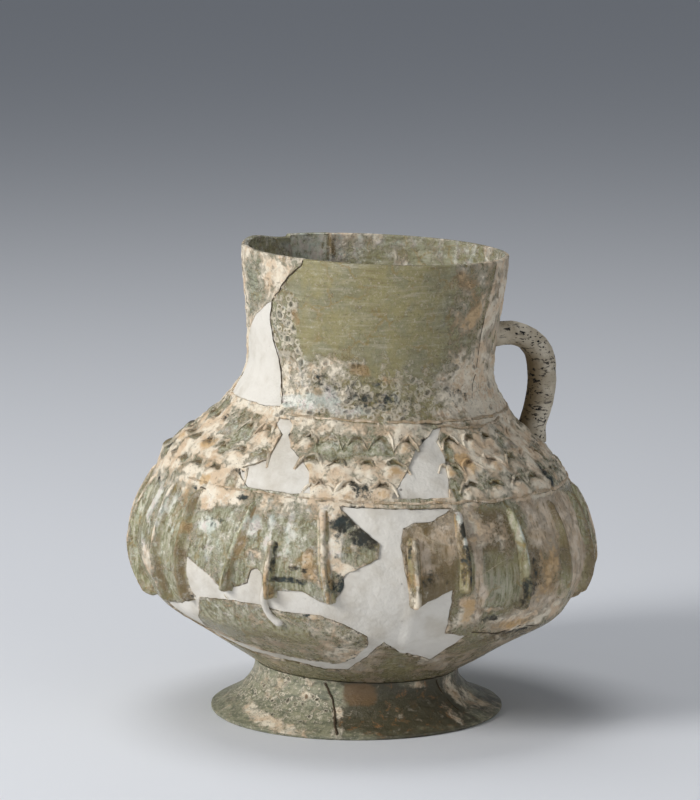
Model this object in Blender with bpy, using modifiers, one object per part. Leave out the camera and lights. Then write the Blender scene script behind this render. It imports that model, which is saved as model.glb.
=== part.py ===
"""A blown glass jug with one handle, broken and mended with plaster, leaning a little on its splayed foot.

Metres, +Z up. The front faces -Y, and the belly's widest ring is centred over the origin, on the surface it
stands on. Everything above the foot is modelled upright on the jug's own axis and hangs from one empty,
which leans it over. Azimuth is in degrees about that axis: 0 is the front and 90 the right hand side, +X.
"""
import math
from dataclasses import dataclass

import bpy
import bmesh
from mathutils import Vector

# Rises: each is the height of one zone of the wall, stacked from the floor up
FOOT_HEIGHT = 0.0155
UNDER_BOWL_RISE = 0.0115
RIB_FOOT_RISE = 0.011
BELLY_RISE = 0.017
SHOULDER_RISE = 0.0243
SCALE_BAND_RISE = 0.0217
NECK_BASE_RISE = 0.012
NECK_RISE = 0.037

# Outer radii where those zones meet
JOINT_RADIUS = 0.033
UNDER_BOWL_RADIUS = 0.051
RIB_FOOT_RADIUS = 0.0668
BELLY_RADIUS = 0.0735
SHOULDER_RADIUS = 0.065
NECK_THREAD_RADIUS = 0.0446
NECK_RADIUS = 0.0398
RIM_RADIUS = 0.043

# Walls, and the lean of the vessel on its foot
WALL = 0.0022
BASE_WALL = 0.003
BASE_KICK = 0.0035
RIM_ROUNDING = 0.0006
LEAN = math.radians(2.5)
JOINT_GAP = 0.0003
SEGMENTS = 40

# Foot: a hollow splayed ring that was blown apart from the vessel
FOOT_RADIUS = 0.0472
FOOT_EDGE = 0.0012
FOOT_WALL = 0.0028
FOOT_SPLAY_POWER = 2.4
FOOT_FACETS = 4

# Handle: an oval rod from the neck to the shoulder, a little behind the right hand side
HANDLE_AZIMUTH = 102.0
HANDLE_TOP_ABOVE_THREAD = 0.022
HANDLE_THICKNESS = 0.0094
HANDLE_ARM_THICKNESS = 0.0078
HANDLE_FINGER_GAP = 0.008
HANDLE_EMBED = 0.004
HANDLE_LANDING_SHARE = 0.52
HANDLE_SIDES_RESOLUTION = 2
HANDLE_PIECES = 3
HANDLE_CLEARANCE = 0.0012
# Its bends, as shares of the way out from the wall, of the way down and of the thickness
HANDLE_ARM_BENDS = [(0.1, 0.0, 1.02), (0.4, -0.01, 1.0), (0.7, 0.05, 1.05), (0.92, 0.18, 1.16)]
HANDLE_UPRIGHT_BENDS = [(1.0, 0.38, 1.0), (1.0, 0.57, 1.0)]
HANDLE_RETURN_BENDS = [(0.7, 0.74, 0.95), (0.2, 0.92, 0.98)]
HANDLE_END_FLARE = 1.15

# Trails laid on hot: two plain threads, three rows of scales and a ring of ribs
THREAD_THICKNESS = 0.0016
THREAD_LOSS_SHARE = 0.1
THREAD_LOSS_MARGIN = 2.0
SCALE_THICKNESS = 0.0014
SCALE_ROWS = 3
SCALES_AROUND = 40
POINTS_PER_SCALE = 3
TRAIL_CLEARANCE = 0.0004
RIB_WIDTH = 0.004
RIB_CREST_WIDTH = 0.0016
RIB_PROUD_AT_TOP = 0.0011
RIB_PROUD_AT_FOOT = 0.004
RIB_SPACING = 12.5
FIRST_HIDDEN_RIB = 92.0
LAST_HIDDEN_RIB = 266.0
RIB_TOP_SHARE = 0.965
RIB_FOOT_SHARE = 0.36

# How far a cutter reaches to each side of the wall, as shares of its distance from where its rays start
CUTTER_INSIDE = 0.3
CUTTER_OUTSIDE = 2.0

# Edges that turn less than this are shaded smooth; the trails have only a few sides, so theirs turn more
WALL_SMOOTH_ANGLE = math.radians(35.0)
TRAIL_SMOOTH_ANGLE = math.radians(60.0)


@dataclass(frozen=True)
class Rib:
    """One rib that the front shows.

    Attributes:
        azimuth: Where its upper end is, in degrees.
        drift: How much further round its lower end is, in degrees.
        top: Its upper end, as a share of the height from the joint to the shoulder thread.
        foot: Its lower end, in the same shares.
    """

    azimuth: float
    drift: float = 0.0
    top: float = RIB_TOP_SHARE
    foot: float = RIB_FOOT_SHARE


# The ribs that show, uneven as they were laid; the one at the very front is lost, its neighbours are broken
FRONT_RIBS = [
    Rib(-80.0, foot=0.33),
    Rib(-63.0, drift=4.0, foot=0.38),
    Rib(-51.5, drift=2.2, foot=0.42),
    Rib(-30.5, drift=-5.0, foot=0.52),
    Rib(-23.0, top=0.8, foot=0.52),
    Rib(-11.5, drift=3.8, foot=0.52),
    Rib(12.3, drift=0.7, top=0.85, foot=0.51),
    Rib(25.0, drift=1.0, foot=0.58),
    Rib(42.0, drift=1.5, foot=0.47),
    Rib(60.0, drift=-0.5, foot=0.48),
    Rib(77.0, drift=-1.0, foot=0.45),
]

# Breaks in the wall: corners as (azimuth, share of the zone's height), each zone from its lower edge up
NECK_BREAK = [
    (-53, 0.68), (-50.5, 0.69), (-52, 0.55), (-51, 0.47), (-46.5, 0.36), (-44, 0.15), (-39, 0.04),
    (-48, 0.03), (-68, 0.03), (-84, 0.03), (-88, 0.08), (-84, 0.24), (-79, 0.4), (-67, 0.56),
]
LEFT_SHOULDER_BREAK = [
    (-37.5, 0.94), (-32.5, 0.94), (-30, 0.85), (-30.3, 0.74), (-26, 0.57), (-19.5, 0.41), (-17.5, 0.33),
    (-15.5, 0.08), (-20.5, 0.05), (-34.5, 0.05), (-40.5, 0.25), (-33, 0.4), (-32.5, 0.55), (-32.8, 0.74),
    (-37.5, 0.86),
]
RIGHT_SHOULDER_BREAK = [
    (30, 0.93), (26, 0.9), (17, 0.66), (13.5, 0.47), (9.5, 0.23), (7, 0.07), (23.5, 0.07), (25, 0.32),
    (27, 0.6), (26, 0.76),
]
BELLY_BREAK = [
    (-7, 0.975), (4, 0.815), (3.5, 0.75), (-4.3, 0.67), (-4.6, 0.595), (-7, 0.53), (-10, 0.525),
    (-14.5, 0.57), (-21.5, 0.56), (-26.3, 0.66), (-28, 0.645), (-29, 0.58), (-36.5, 0.51), (-40, 0.58),
    (-44, 0.615), (-48, 0.65), (-52.5, 0.71), (-50.3, 0.58), (-49.3, 0.51), (-47, 0.45), (-55, 0.385),
    (-66.5, 0.345), (-66, 0.25), (-60, 0.17), (-48, 0.12), (-25, 0.115), (-14, 0.09), (-4, 0.1),
    (2.8, 0.2), (6.6, 0.32), (12, 0.255), (27, 0.17), (27.5, 0.225), (28.6, 0.305), (29.6, 0.34),
    (23, 0.365), (22.3, 0.5), (22.2, 0.6), (17, 0.55), (13, 0.505), (10.6, 0.645), (9, 0.81), (9.8, 0.89),
    (13, 0.915), (17.6, 0.92), (23.5, 0.975),
]
LOWER_SHERD = [
    (-45.5, 0.45), (-35, 0.47), (-25.7, 0.47), (-21, 0.45), (-10, 0.45), (-4.2, 0.41), (1.9, 0.35),
    (2.4, 0.285), (-1.2, 0.195), (-7.3, 0.14), (-20, 0.15), (-28.5, 0.16), (-42, 0.175), (-51, 0.205),
    (-54.5, 0.25), (-49, 0.35),
]

# Heights that the rises give
UNDER_BOWL_HEIGHT = FOOT_HEIGHT + UNDER_BOWL_RISE
RIB_FOOT_HEIGHT = UNDER_BOWL_HEIGHT + RIB_FOOT_RISE
BELLY_HEIGHT = RIB_FOOT_HEIGHT + BELLY_RISE
SHOULDER_HEIGHT = BELLY_HEIGHT + SHOULDER_RISE
NECK_THREAD_HEIGHT = SHOULDER_HEIGHT + SCALE_BAND_RISE
NECK_HEIGHT = NECK_THREAD_HEIGHT + NECK_BASE_RISE
RIM_HEIGHT = NECK_HEIGHT + NECK_RISE

# The wall's outer line, as (height, radius), with how many facets lead up to each height from the one before
WALL_LINE = [
    (FOOT_HEIGHT, JOINT_RADIUS),
    (UNDER_BOWL_HEIGHT, UNDER_BOWL_RADIUS),
    (RIB_FOOT_HEIGHT, RIB_FOOT_RADIUS),
    (BELLY_HEIGHT, BELLY_RADIUS),
    (SHOULDER_HEIGHT, SHOULDER_RADIUS),
    (NECK_THREAD_HEIGHT, NECK_THREAD_RADIUS),
    (NECK_HEIGHT, NECK_RADIUS),
    (RIM_HEIGHT, RIM_RADIUS),
]
WALL_FACETS = [2, 2, 2, 3, 3, 2, 2]
BELLY_ZONE = (FOOT_HEIGHT, SHOULDER_HEIGHT)
SHOULDER_ZONE = (SHOULDER_HEIGHT, NECK_THREAD_HEIGHT)
NECK_ZONE = (NECK_THREAD_HEIGHT, RIM_HEIGHT)


def clear_scene():
    """Removes the objects that a new file starts with."""
    for scene_object in list(bpy.data.objects):
        bpy.data.objects.remove(scene_object, do_unlink=True)


def new_collection(name):
    """Adds a collection to the scene."""
    collection = bpy.data.collections.new(name)
    bpy.context.scene.collection.children.link(collection)
    return collection


def surface(name, colour, roughness, alpha=1.0):
    """Makes a plain Principled material."""
    material = bpy.data.materials.new(name)
    material.use_nodes = True
    shader = material.node_tree.nodes["Principled BSDF"]
    shader.inputs["Base Color"].default_value = (*colour, 1.0)
    shader.inputs["Roughness"].default_value = roughness
    shader.inputs["Metallic"].default_value = 0.0
    shader.inputs["Alpha"].default_value = alpha
    return material


def line_slopes(line):
    """Gives each point of the wall's line a slope that keeps the curve from overshooting its points."""
    secants = [(r2 - r1) / (h2 - h1) for (h1, r1), (h2, r2) in zip(line, line[1:])]
    slopes = [secants[0]]
    for below, above in zip(secants, secants[1:]):
        turns = below * above <= 0
        slopes.append(0.0 if turns else 2 * below * above / (below + above))
    slopes.append(secants[-1])
    return slopes


WALL_SLOPES = line_slopes(WALL_LINE)


def wall_radius(height):
    """Returns the wall's outer radius at a height, from a smooth curve through the wall's line."""
    zone = max(i for i in range(len(WALL_LINE) - 1) if i == 0 or height >= WALL_LINE[i][0])
    (low, r_low), (high, r_high) = WALL_LINE[zone], WALL_LINE[zone + 1]
    span = high - low
    t = (height - low) / span
    rise = (1 + 2 * t) * (1 - t) ** 2 * r_low + t * t * (3 - 2 * t) * r_high
    bend = t * (1 - t) ** 2 * WALL_SLOPES[zone] - t * t * (1 - t) * WALL_SLOPES[zone + 1]
    return rise + span * bend


def wall_normal(height):
    """Returns the wall's outward normal in its profile, as (along the radius, along the height)."""
    step = 1e-5
    slope = (wall_radius(height + step) - wall_radius(height - step)) / (2 * step)
    length = math.hypot(1.0, slope)
    return 1.0 / length, -slope / length


def wall_point(azimuth, height, out=0.0):
    """Returns a point of the wall, or one that stands off it along its normal."""
    along_radius, along_height = wall_normal(height)
    radius = wall_radius(height) + out * along_radius
    angle = math.radians(azimuth)
    return Vector((radius * math.sin(angle), -radius * math.cos(angle), height + out * along_height))


def wall_heights():
    """Returns the heights at which the wall has an edge, from the joint up to the rim."""
    heights = [FOOT_HEIGHT]
    for (low, _), (high, _), facets in zip(WALL_LINE, WALL_LINE[1:], WALL_FACETS):
        heights += [low + (high - low) * (i + 1) / facets for i in range(facets)]
    return heights


def share_height(zone, share):
    """Returns the height at a share of a zone."""
    low, high = zone
    return low + (high - low) * share


def turned(name, profile, collection):
    """Turns a closed profile of (radius, height) points about the upright axis, as a live Screw."""
    mesh = bpy.data.meshes.new(name)
    mesh.from_pydata([(r, 0.0, z) for r, z in profile], [(i, i + 1) for i in range(len(profile) - 1)], [])
    turned_object = bpy.data.objects.new(name, mesh)
    collection.objects.link(turned_object)
    screw = turned_object.modifiers.new("turn", "SCREW")
    screw.steps = SEGMENTS
    screw.render_steps = SEGMENTS
    screw.use_merge_vertices = True
    screw.merge_threshold = 0.00001
    return turned_object


def settled_mesh(source):
    """Returns the mesh that an object's modifiers make, its doubled corners welded, and drops the object."""
    bpy.context.view_layer.update()
    evaluated = source.evaluated_get(bpy.context.evaluated_depsgraph_get())
    mesh = bpy.data.meshes.new_from_object(evaluated)
    bpy.data.objects.remove(source, do_unlink=True)
    welded = bmesh.new()
    welded.from_mesh(mesh)
    bmesh.ops.remove_doubles(welded, verts=welded.verts, dist=0.00001)
    welded.to_mesh(mesh)
    welded.free()
    return mesh


def shell_profile():
    """Returns the vessel's section: up the inner wall, over the rim, down the outer wall and under it."""
    heights = wall_heights()
    foot_top_inner = JOINT_RADIUS - FOOT_WALL
    kick_radius = foot_top_inner / 2
    inner = []
    for height in heights[1:]:
        along_radius, along_height = wall_normal(height)
        inner.append((wall_radius(height) - WALL * along_radius, height - WALL * along_height))
    inner[-1] = (RIM_RADIUS - WALL, RIM_HEIGHT - RIM_ROUNDING)
    outer = [(wall_radius(height), height) for height in reversed(heights)]
    outer[0] = (RIM_RADIUS, RIM_HEIGHT - RIM_ROUNDING)
    lip = [(RIM_RADIUS - 3 * WALL / 4, RIM_HEIGHT), (RIM_RADIUS - WALL / 4, RIM_HEIGHT)]
    floor = FOOT_HEIGHT + BASE_WALL
    inner_base = [(0.0, floor + BASE_KICK), (kick_radius, floor + BASE_KICK / 2), (foot_top_inner, floor)]
    under = [
        (foot_top_inner, FOOT_HEIGHT),
        (kick_radius, FOOT_HEIGHT + BASE_KICK / 2),
        (0.0, FOOT_HEIGHT + BASE_KICK),
    ]
    return inner_base + inner + lip + outer + under


def wall_run(height):
    """Returns how far up the wall a height is, measured along the wall from the joint."""
    steps = 60
    heights = [FOOT_HEIGHT + (height - FOOT_HEIGHT) * i / steps for i in range(steps + 1)]
    places = [Vector((wall_radius(level), level)) for level in heights]
    return sum((upper - lower).length for lower, upper in zip(places, places[1:]))


def metric_point(corner, zone):
    """Lays a corner of a break out flat, in metres around the wall and metres up it."""
    azimuth, share = corner
    height = share_height(zone, share)
    return Vector((math.radians(azimuth) * wall_radius(height), wall_run(height)))


def grown(outline, zone, distance):
    """Moves each edge of a break's outline outwards by a distance, and returns (azimuth, height) corners."""
    flat = [metric_point(corner, zone) for corner in outline]
    turn = sum(before.cross(corner) for before, corner in zip(flat[-1:] + flat, flat))
    side = 1.0 if turn > 0 else -1.0
    corners = []
    for i, (azimuth, share) in enumerate(outline):
        before = (flat[i] - flat[i - 1]).normalized()
        after = (flat[(i + 1) % len(flat)] - flat[i]).normalized()
        mitre = Vector((before.y + after.y, -before.x - after.x)) * side
        mitre *= 2.0 * distance / max(mitre.length_squared, 1.0)
        height = share_height(zone, share)
        azimuth += math.degrees(mitre.x / wall_radius(height))
        corners.append((azimuth, height + mitre.y * wall_normal(height)[0]))
    return corners


def break_cutter(name, outline, zone, distance, collection):
    """Makes the solid that cuts one break through the wall, along rays from the axis.

    The rays start at the belly's centre, and on the neck level with each corner, so that they meet the wall
    nearly square.
    """
    mesh = bmesh.new()
    rings = [[], []]
    for azimuth, height in grown(outline, zone, distance):
        start = Vector((0.0, 0.0, height if zone == NECK_ZONE else BELLY_HEIGHT))
        reach = wall_point(azimuth, height) - start
        rings[0].append(mesh.verts.new(start + reach * CUTTER_INSIDE))
        rings[1].append(mesh.verts.new(start + reach * CUTTER_OUTSIDE))
    inside, outside = rings
    mesh.faces.new(reversed(inside))
    mesh.faces.new(outside)
    for i in range(len(inside)):
        j = (i + 1) % len(inside)
        mesh.faces.new((inside[i], inside[j], outside[j], outside[i]))
    bmesh.ops.triangulate(mesh, faces=mesh.faces[:])
    if mesh.calc_volume(signed=True) < 0:
        bmesh.ops.reverse_faces(mesh, faces=mesh.faces[:])
    cutter_mesh = bpy.data.meshes.new(name)
    mesh.to_mesh(cutter_mesh)
    mesh.free()
    cutter = bpy.data.objects.new(name, cutter_mesh)
    cutter.hide_render = True
    cutter.display_type = "WIRE"
    collection.objects.link(cutter)
    return cutter


def combine(target, cutter, operation):
    """Adds an exact Boolean with a cutter to an object."""
    boolean = target.modifiers.new(cutter.name, "BOOLEAN")
    boolean.object = cutter
    boolean.operation = operation
    boolean.solver = "EXACT"


def inside_outline(azimuth, height, outline, zone):
    """Tells whether a place on the wall is inside a break."""
    low, high = zone
    share = (height - low) / (high - low)
    inside = False
    for (a1, s1), (a2, s2) in zip(outline, outline[1:] + outline[:1]):
        crosses = (s1 > share) != (s2 > share)
        if crosses and azimuth < a1 + (share - s1) * (a2 - a1) / (s2 - s1):
            inside = not inside
    return inside


def front_azimuth(azimuth):
    """Brings an azimuth into the range from -180 to 180 degrees."""
    return (azimuth + 180.0) % 360.0 - 180.0


def finish(part_object, material, smooth_angle=WALL_SMOOTH_ANGLE):
    """Gives a piece its material and smooth shading that keeps its sharp edges."""
    part_object.data.materials.clear()
    part_object.data.materials.append(material)
    part_object.data.shade_smooth()
    part_object.data.set_sharp_from_angle(angle=smooth_angle)


def lean_over(part_object, leaning_axis):
    """Hangs a piece that was modelled upright from the empty that leans the vessel."""
    part_object.parent = leaning_axis
    part_object.location = (0.0, 0.0, -FOOT_HEIGHT)


def build_vessel(collection, cutters):
    """Builds the blown wall with its breaks, the loose sherd and the plaster that fills the breaks."""
    shell = settled_mesh(turned("shell", shell_profile(), cutters))
    breaks = {
        "plaster_neck": (NECK_BREAK, NECK_ZONE),
        "plaster_shoulder_left": (LEFT_SHOULDER_BREAK, SHOULDER_ZONE),
        "plaster_shoulder_right": (RIGHT_SHOULDER_BREAK, SHOULDER_ZONE),
        "plaster_belly": (BELLY_BREAK, BELLY_ZONE),
    }
    body = bpy.data.objects.new("glass_body", shell.copy())
    sherd = bpy.data.objects.new("lower_sherd", shell.copy())
    collection.objects.link(body)
    collection.objects.link(sherd)
    combine(sherd, break_cutter("sherd_edge", LOWER_SHERD, BELLY_ZONE, 0.0, cutters), "INTERSECT")
    fills = []
    for name, (outline, zone) in breaks.items():
        fill = bpy.data.objects.new(name, shell.copy())
        collection.objects.link(fill)
        combine(fill, break_cutter(name + "_edge", outline, zone, 0.0, cutters), "INTERSECT")
        combine(body, break_cutter(name + "_hole", outline, zone, JOINT_GAP, cutters), "DIFFERENCE")
        fills.append(fill)
    combine(fills[-1], break_cutter("sherd_hole", LOWER_SHERD, BELLY_ZONE, JOINT_GAP, cutters), "DIFFERENCE")
    return [body, sherd], fills


def build_foot(collection):
    """Builds the hollow splayed foot, whose top is tilted to meet the leaning base of the vessel."""
    top = FOOT_HEIGHT - JOINT_GAP
    splay = FOOT_RADIUS - JOINT_RADIUS
    outer = []
    for i in range(FOOT_FACETS + 1):
        drop = i / FOOT_FACETS
        outer.append((JOINT_RADIUS + splay * drop ** FOOT_SPLAY_POWER, top + (FOOT_EDGE - top) * drop))
    inner = [(r - FOOT_WALL, z) for r, z in reversed(outer[:-1])]
    ring = outer + [(FOOT_RADIUS, 0.0), (FOOT_RADIUS - FOOT_WALL, 0.0)] + inner
    mesh = settled_mesh(turned("foot_ring", ring + ring[:1], collection))
    for vertex in mesh.vertices:
        vertex.co.z -= vertex.co.x * math.tan(LEAN) * vertex.co.z / top
    foot = bpy.data.objects.new("foot", mesh)
    foot.location.x = joint_offset()
    collection.objects.link(foot)
    return foot


def joint_offset():
    """Returns how far left of the origin the foot stands, so that the leaning belly is centred over it."""
    return -math.sin(LEAN) * (BELLY_HEIGHT - FOOT_HEIGHT)


def tube(name, points, radii, closed, sides_resolution, collection, twist="Z_UP"):
    """Makes a rod along a line of points, as a curve with a round bevel and filled ends."""
    curve = bpy.data.curves.new(name, "CURVE")
    curve.dimensions = "3D"
    curve.twist_mode = twist
    curve.bevel_depth = 1.0
    curve.bevel_resolution = sides_resolution
    curve.use_fill_caps = True
    spline = curve.splines.new("POLY")
    spline.points.add(len(points) - 1)
    spline.use_cyclic_u = closed
    for spline_point, place, radius in zip(spline.points, points, radii):
        spline_point.co = (*place, 1.0)
        spline_point.radius = radius
    rod = bpy.data.objects.new(name, curve)
    collection.objects.link(rod)
    mesh = settled_mesh(rod)
    mesh.name = name
    solid = bpy.data.objects.new(name, mesh)
    collection.objects.link(solid)
    return solid


def smooth_path(points, pieces):
    """Returns a Catmull-Rom curve through a list of points, in so many straight pieces between each two."""
    path = []
    padded = [2 * points[0] - points[1]] + points + [2 * points[-1] - points[-2]]
    for p0, p1, p2, p3 in zip(padded, padded[1:], padded[2:], padded[3:]):
        for i in range(pieces):
            t = i / pieces
            sweep = 2 * p1 + (p2 - p0) * t + (2 * p0 - 5 * p1 + 4 * p2 - p3) * t ** 2
            path.append((sweep + (3 * p1 - p0 - 3 * p2 + p3) * t ** 3) / 2)
    return path + [points[-1]]


def build_handle(collection, cutters):
    """Builds the handle: out level from the neck, round a bend and down onto the shoulder."""
    top = NECK_THREAD_HEIGHT + HANDLE_TOP_ABOVE_THREAD
    landing = share_height(SHOULDER_ZONE, HANDLE_LANDING_SHARE)
    reach = NECK_THREAD_RADIUS + HANDLE_FINGER_GAP + HANDLE_THICKNESS / 2
    neck = wall_radius(top)
    drop = top - landing
    shoulder = wall_radius(landing)
    stretches = [
        (HANDLE_ARM_BENDS, neck, HANDLE_ARM_THICKNESS),
        (HANDLE_UPRIGHT_BENDS, neck, HANDLE_THICKNESS),
        (HANDLE_RETURN_BENDS, shoulder, HANDLE_THICKNESS),
    ]
    line = [(neck - HANDLE_EMBED, top, HANDLE_ARM_THICKNESS * HANDLE_END_FLARE)]
    for bends, wall, thickness in stretches:
        for out, down, share in bends:
            line.append((wall + out * (reach - wall), top - down * drop, thickness * share))
    line.append((shoulder, landing - HANDLE_EMBED, HANDLE_THICKNESS * HANDLE_END_FLARE))
    angle = math.radians(HANDLE_AZIMUTH)
    places = [Vector((r * math.sin(angle), -r * math.cos(angle), z)) for r, z, _ in line]
    widths = [Vector((width / 2, 0.0, 0.0)) for _, _, width in line]
    path = smooth_path(places, HANDLE_PIECES)
    radii = [width.x for width in smooth_path(widths, HANDLE_PIECES)]
    handle = tube("handle", path, radii, False, HANDLE_SIDES_RESOLUTION, collection, "MINIMUM")
    envelope_line = [(wall_radius(h) + JOINT_GAP / wall_normal(h)[0], h) for h in reversed(wall_heights())]
    envelope_line = [(0.0, RIM_HEIGHT)] + envelope_line + [(0.0, FOOT_HEIGHT)]
    envelope_mesh = settled_mesh(turned("envelope", envelope_line, cutters))
    envelope = bpy.data.objects.new("vessel_envelope", envelope_mesh)
    envelope.hide_render = True
    envelope.display_type = "WIRE"
    cutters.objects.link(envelope)
    combine(handle, envelope, "DIFFERENCE")
    return handle


def thread_azimuths(start, end):
    """Returns the azimuths of a trail's points: its two ends and the wall's edges between them."""
    step = 360.0 / SEGMENTS
    first = math.floor(start / step) + 1
    between = []
    while first * step < end:
        between.append(first * step)
        first += 1
    return [start] + between + [end]


def build_threads(collection):
    """Builds the thread round the shoulder and the one round the neck, which is lost beside the plaster."""
    stand_off = JOINT_GAP + THREAD_THICKNESS / 2
    azimuths = [360.0 * i / SEGMENTS for i in range(SEGMENTS)]
    points = [wall_point(azimuth, SHOULDER_HEIGHT, stand_off) for azimuth in azimuths]
    shoulder = tube("shoulder_thread", points, [THREAD_THICKNESS / 2] * len(points), True, 0, collection)
    start = max(azimuth for azimuth, share in NECK_BREAK if share < THREAD_LOSS_SHARE) + THREAD_LOSS_MARGIN
    end = min(azimuth for azimuth, _ in NECK_BREAK) + 360.0 - THREAD_LOSS_MARGIN
    points = [wall_point(azimuth, NECK_THREAD_HEIGHT, stand_off) for azimuth in thread_azimuths(start, end)]
    neck = tube("neck_thread", points, [THREAD_THICKNESS / 2] * len(points), False, 0, collection)
    return [shoulder, neck]


def scale_is_lost(azimuth, height):
    """Tells whether a scale's place is plaster or is taken by the handle's landing."""
    azimuth = front_azimuth(azimuth)
    for outline in (LEFT_SHOULDER_BREAK, RIGHT_SHOULDER_BREAK):
        if inside_outline(azimuth, height, outline, SHOULDER_ZONE):
            return True
    landing = share_height(SHOULDER_ZONE, HANDLE_LANDING_SHARE)
    room = HANDLE_THICKNESS / 2 + SCALE_THICKNESS + HANDLE_CLEARANCE
    half_a_scale = math.pi / SCALES_AROUND
    across = (abs(math.radians(azimuth - HANDLE_AZIMUTH)) - half_a_scale) * wall_radius(height)
    return across < room and height > landing - room


def build_scales(collection):
    """Builds the rows of overlapping scales, each row one wavy trail wherever it isn't lost."""
    margin = (THREAD_THICKNESS + SCALE_THICKNESS) / 2 + TRAIL_CLEARANCE
    low = SHOULDER_HEIGHT + margin
    pitch = (NECK_THREAD_HEIGHT - margin - low) / SCALE_ROWS
    rise = pitch - SCALE_THICKNESS - TRAIL_CLEARANCE
    step = 360.0 / SCALES_AROUND
    trails = []
    for row in range(SCALE_ROWS):
        base = low + row * pitch
        starts = [(i + row % 2 / 2) * step for i in range(SCALES_AROUND)]
        lost = [scale_is_lost(start + step / 2, base + rise / 2) for start in starts]
        first = lost.index(True)
        run = []
        for i in range(first, first + SCALES_AROUND + 1):
            if not lost[i % SCALES_AROUND]:
                run.append(starts[i % SCALES_AROUND] + 360.0 * (i // SCALES_AROUND))
            elif run:
                name = f"scale_row_{row + 1}_{len(trails) + 1:02d}"
                trails.append(scale_trail(name, run, base, rise, collection))
                run = []
    return trails


def scale_trail(name, starts, base, rise, collection):
    """Builds one run of scales: round arches side by side, meeting in points at the bottom."""
    step = 360.0 / SCALES_AROUND
    shares = [i / POINTS_PER_SCALE for i in range(POINTS_PER_SCALE)]
    places = [(start + step * share, share) for start in starts for share in shares]
    places.append((starts[-1] + step, 1.0))
    stand_off = JOINT_GAP + SCALE_THICKNESS / 2
    points = [wall_point(at, base + rise * math.sin(math.pi * share), stand_off) for at, share in places]
    return tube(name, points, [SCALE_THICKNESS / 2] * len(points), False, 0, collection)


def rib_heights(rib):
    """Returns the heights of a rib's sections: its two ends and the wall's own edges between them."""
    top = share_height(BELLY_ZONE, rib.top)
    foot = share_height(BELLY_ZONE, rib.foot)
    between = [level for level in wall_heights() if foot + RIB_CREST_WIDTH < level < top - RIB_CREST_WIDTH]
    return [foot] + between + [top]


def build_rib(name, rib, collection):
    """Builds one rib as a loft of four-sided sections that stands prouder towards its foot."""
    mesh = bmesh.new()
    rings = []
    full_top = share_height(BELLY_ZONE, RIB_TOP_SHARE)
    full_foot = share_height(BELLY_ZONE, RIB_FOOT_SHARE)
    heights = rib_heights(rib)
    for height in heights:
        descent = min((full_top - height) / (full_top - full_foot), 1.0)
        proud = RIB_PROUD_AT_TOP + (RIB_PROUD_AT_FOOT - RIB_PROUD_AT_TOP) * math.sqrt(max(descent, 0.0))
        azimuth = rib.azimuth + rib.drift * (heights[-1] - height) / (heights[-1] - heights[0])
        angle = math.radians(azimuth)
        across = Vector((math.cos(angle), math.sin(angle), 0.0))
        base = wall_point(azimuth, height, JOINT_GAP)
        crest = wall_point(azimuth, height, JOINT_GAP + proud)
        corners = [
            base - across * RIB_WIDTH / 2,
            base + across * RIB_WIDTH / 2,
            crest + across * RIB_CREST_WIDTH / 2,
            crest - across * RIB_CREST_WIDTH / 2,
        ]
        rings.append([mesh.verts.new(corner) for corner in corners])
    for lower, upper in zip(rings, rings[1:]):
        for i in range(4):
            j = (i + 1) % 4
            mesh.faces.new((lower[i], lower[j], upper[j], upper[i]))
    mesh.faces.new(reversed(rings[0]))
    mesh.faces.new(rings[-1])
    bmesh.ops.recalc_face_normals(mesh, faces=mesh.faces[:])
    rib_mesh = bpy.data.meshes.new(name)
    mesh.to_mesh(rib_mesh)
    mesh.free()
    rib_object = bpy.data.objects.new(name, rib_mesh)
    collection.objects.link(rib_object)
    return rib_object


def build_ribs(collection):
    """Builds the ribs that the front shows and, evenly spaced, the ones behind."""
    stretch = LAST_HIDDEN_RIB - FIRST_HIDDEN_RIB
    spaces = round(stretch / RIB_SPACING)
    hidden = [Rib(FIRST_HIDDEN_RIB + stretch * i / spaces) for i in range(spaces + 1)]
    return [build_rib(f"rib_{i + 1:02d}", rib, collection) for i, rib in enumerate(FRONT_RIBS + hidden)]


def main():
    """Builds the jug."""
    clear_scene()
    jug = new_collection("glass_jug")
    cutters = new_collection("cutters")
    body_glass = surface("weathered_glass", (0.46, 0.47, 0.36), 0.35, 0.7)
    trail_glass = surface("crusted_glass", (0.55, 0.48, 0.37), 0.6)
    foot_glass = surface("dark_glass", (0.16, 0.17, 0.12), 0.45)
    handle_glass = surface("pitted_glass", (0.42, 0.38, 0.31), 0.7)
    plaster = surface("plaster", (0.78, 0.76, 0.72), 0.9)

    leaning_axis = bpy.data.objects.new("leaning_axis", None)
    leaning_axis.location = (joint_offset(), 0.0, FOOT_HEIGHT)
    leaning_axis.rotation_euler = (0.0, LEAN, 0.0)
    jug.objects.link(leaning_axis)

    sherds, fills = build_vessel(jug, cutters)
    trails = build_threads(jug) + build_scales(jug) + build_ribs(jug)
    handle = build_handle(jug, cutters)
    foot = build_foot(jug)
    for part_object in sherds + fills + trails + [handle]:
        lean_over(part_object, leaning_axis)
    for cutter in cutters.objects:
        lean_over(cutter, leaning_axis)
    for sherd in sherds:
        finish(sherd, body_glass)
    for fill in fills:
        finish(fill, plaster)
    for trail in trails:
        finish(trail, trail_glass, TRAIL_SMOOTH_ANGLE)
    finish(handle, handle_glass)
    finish(foot, foot_glass)


main()
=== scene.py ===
"""The looks of a glass jug that was broken, put together from its sherds and filled with plaster.

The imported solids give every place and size. Each piece here is built upright on the jug's own axis, leaned over
with it and then stands for one or more of the solids. A place on the wall is given as an azimuth in degrees, with
0 at the front and 90 at the right hand side, and a height in metres above the floor along the leaning axis.
"""
import logging
import math
from dataclasses import dataclass, field
from enum import Enum
from functools import cached_property
from typing import Callable, Sequence

import bmesh
import bpy
import numpy as np
from mathutils import Matrix, Vector, noise

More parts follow.
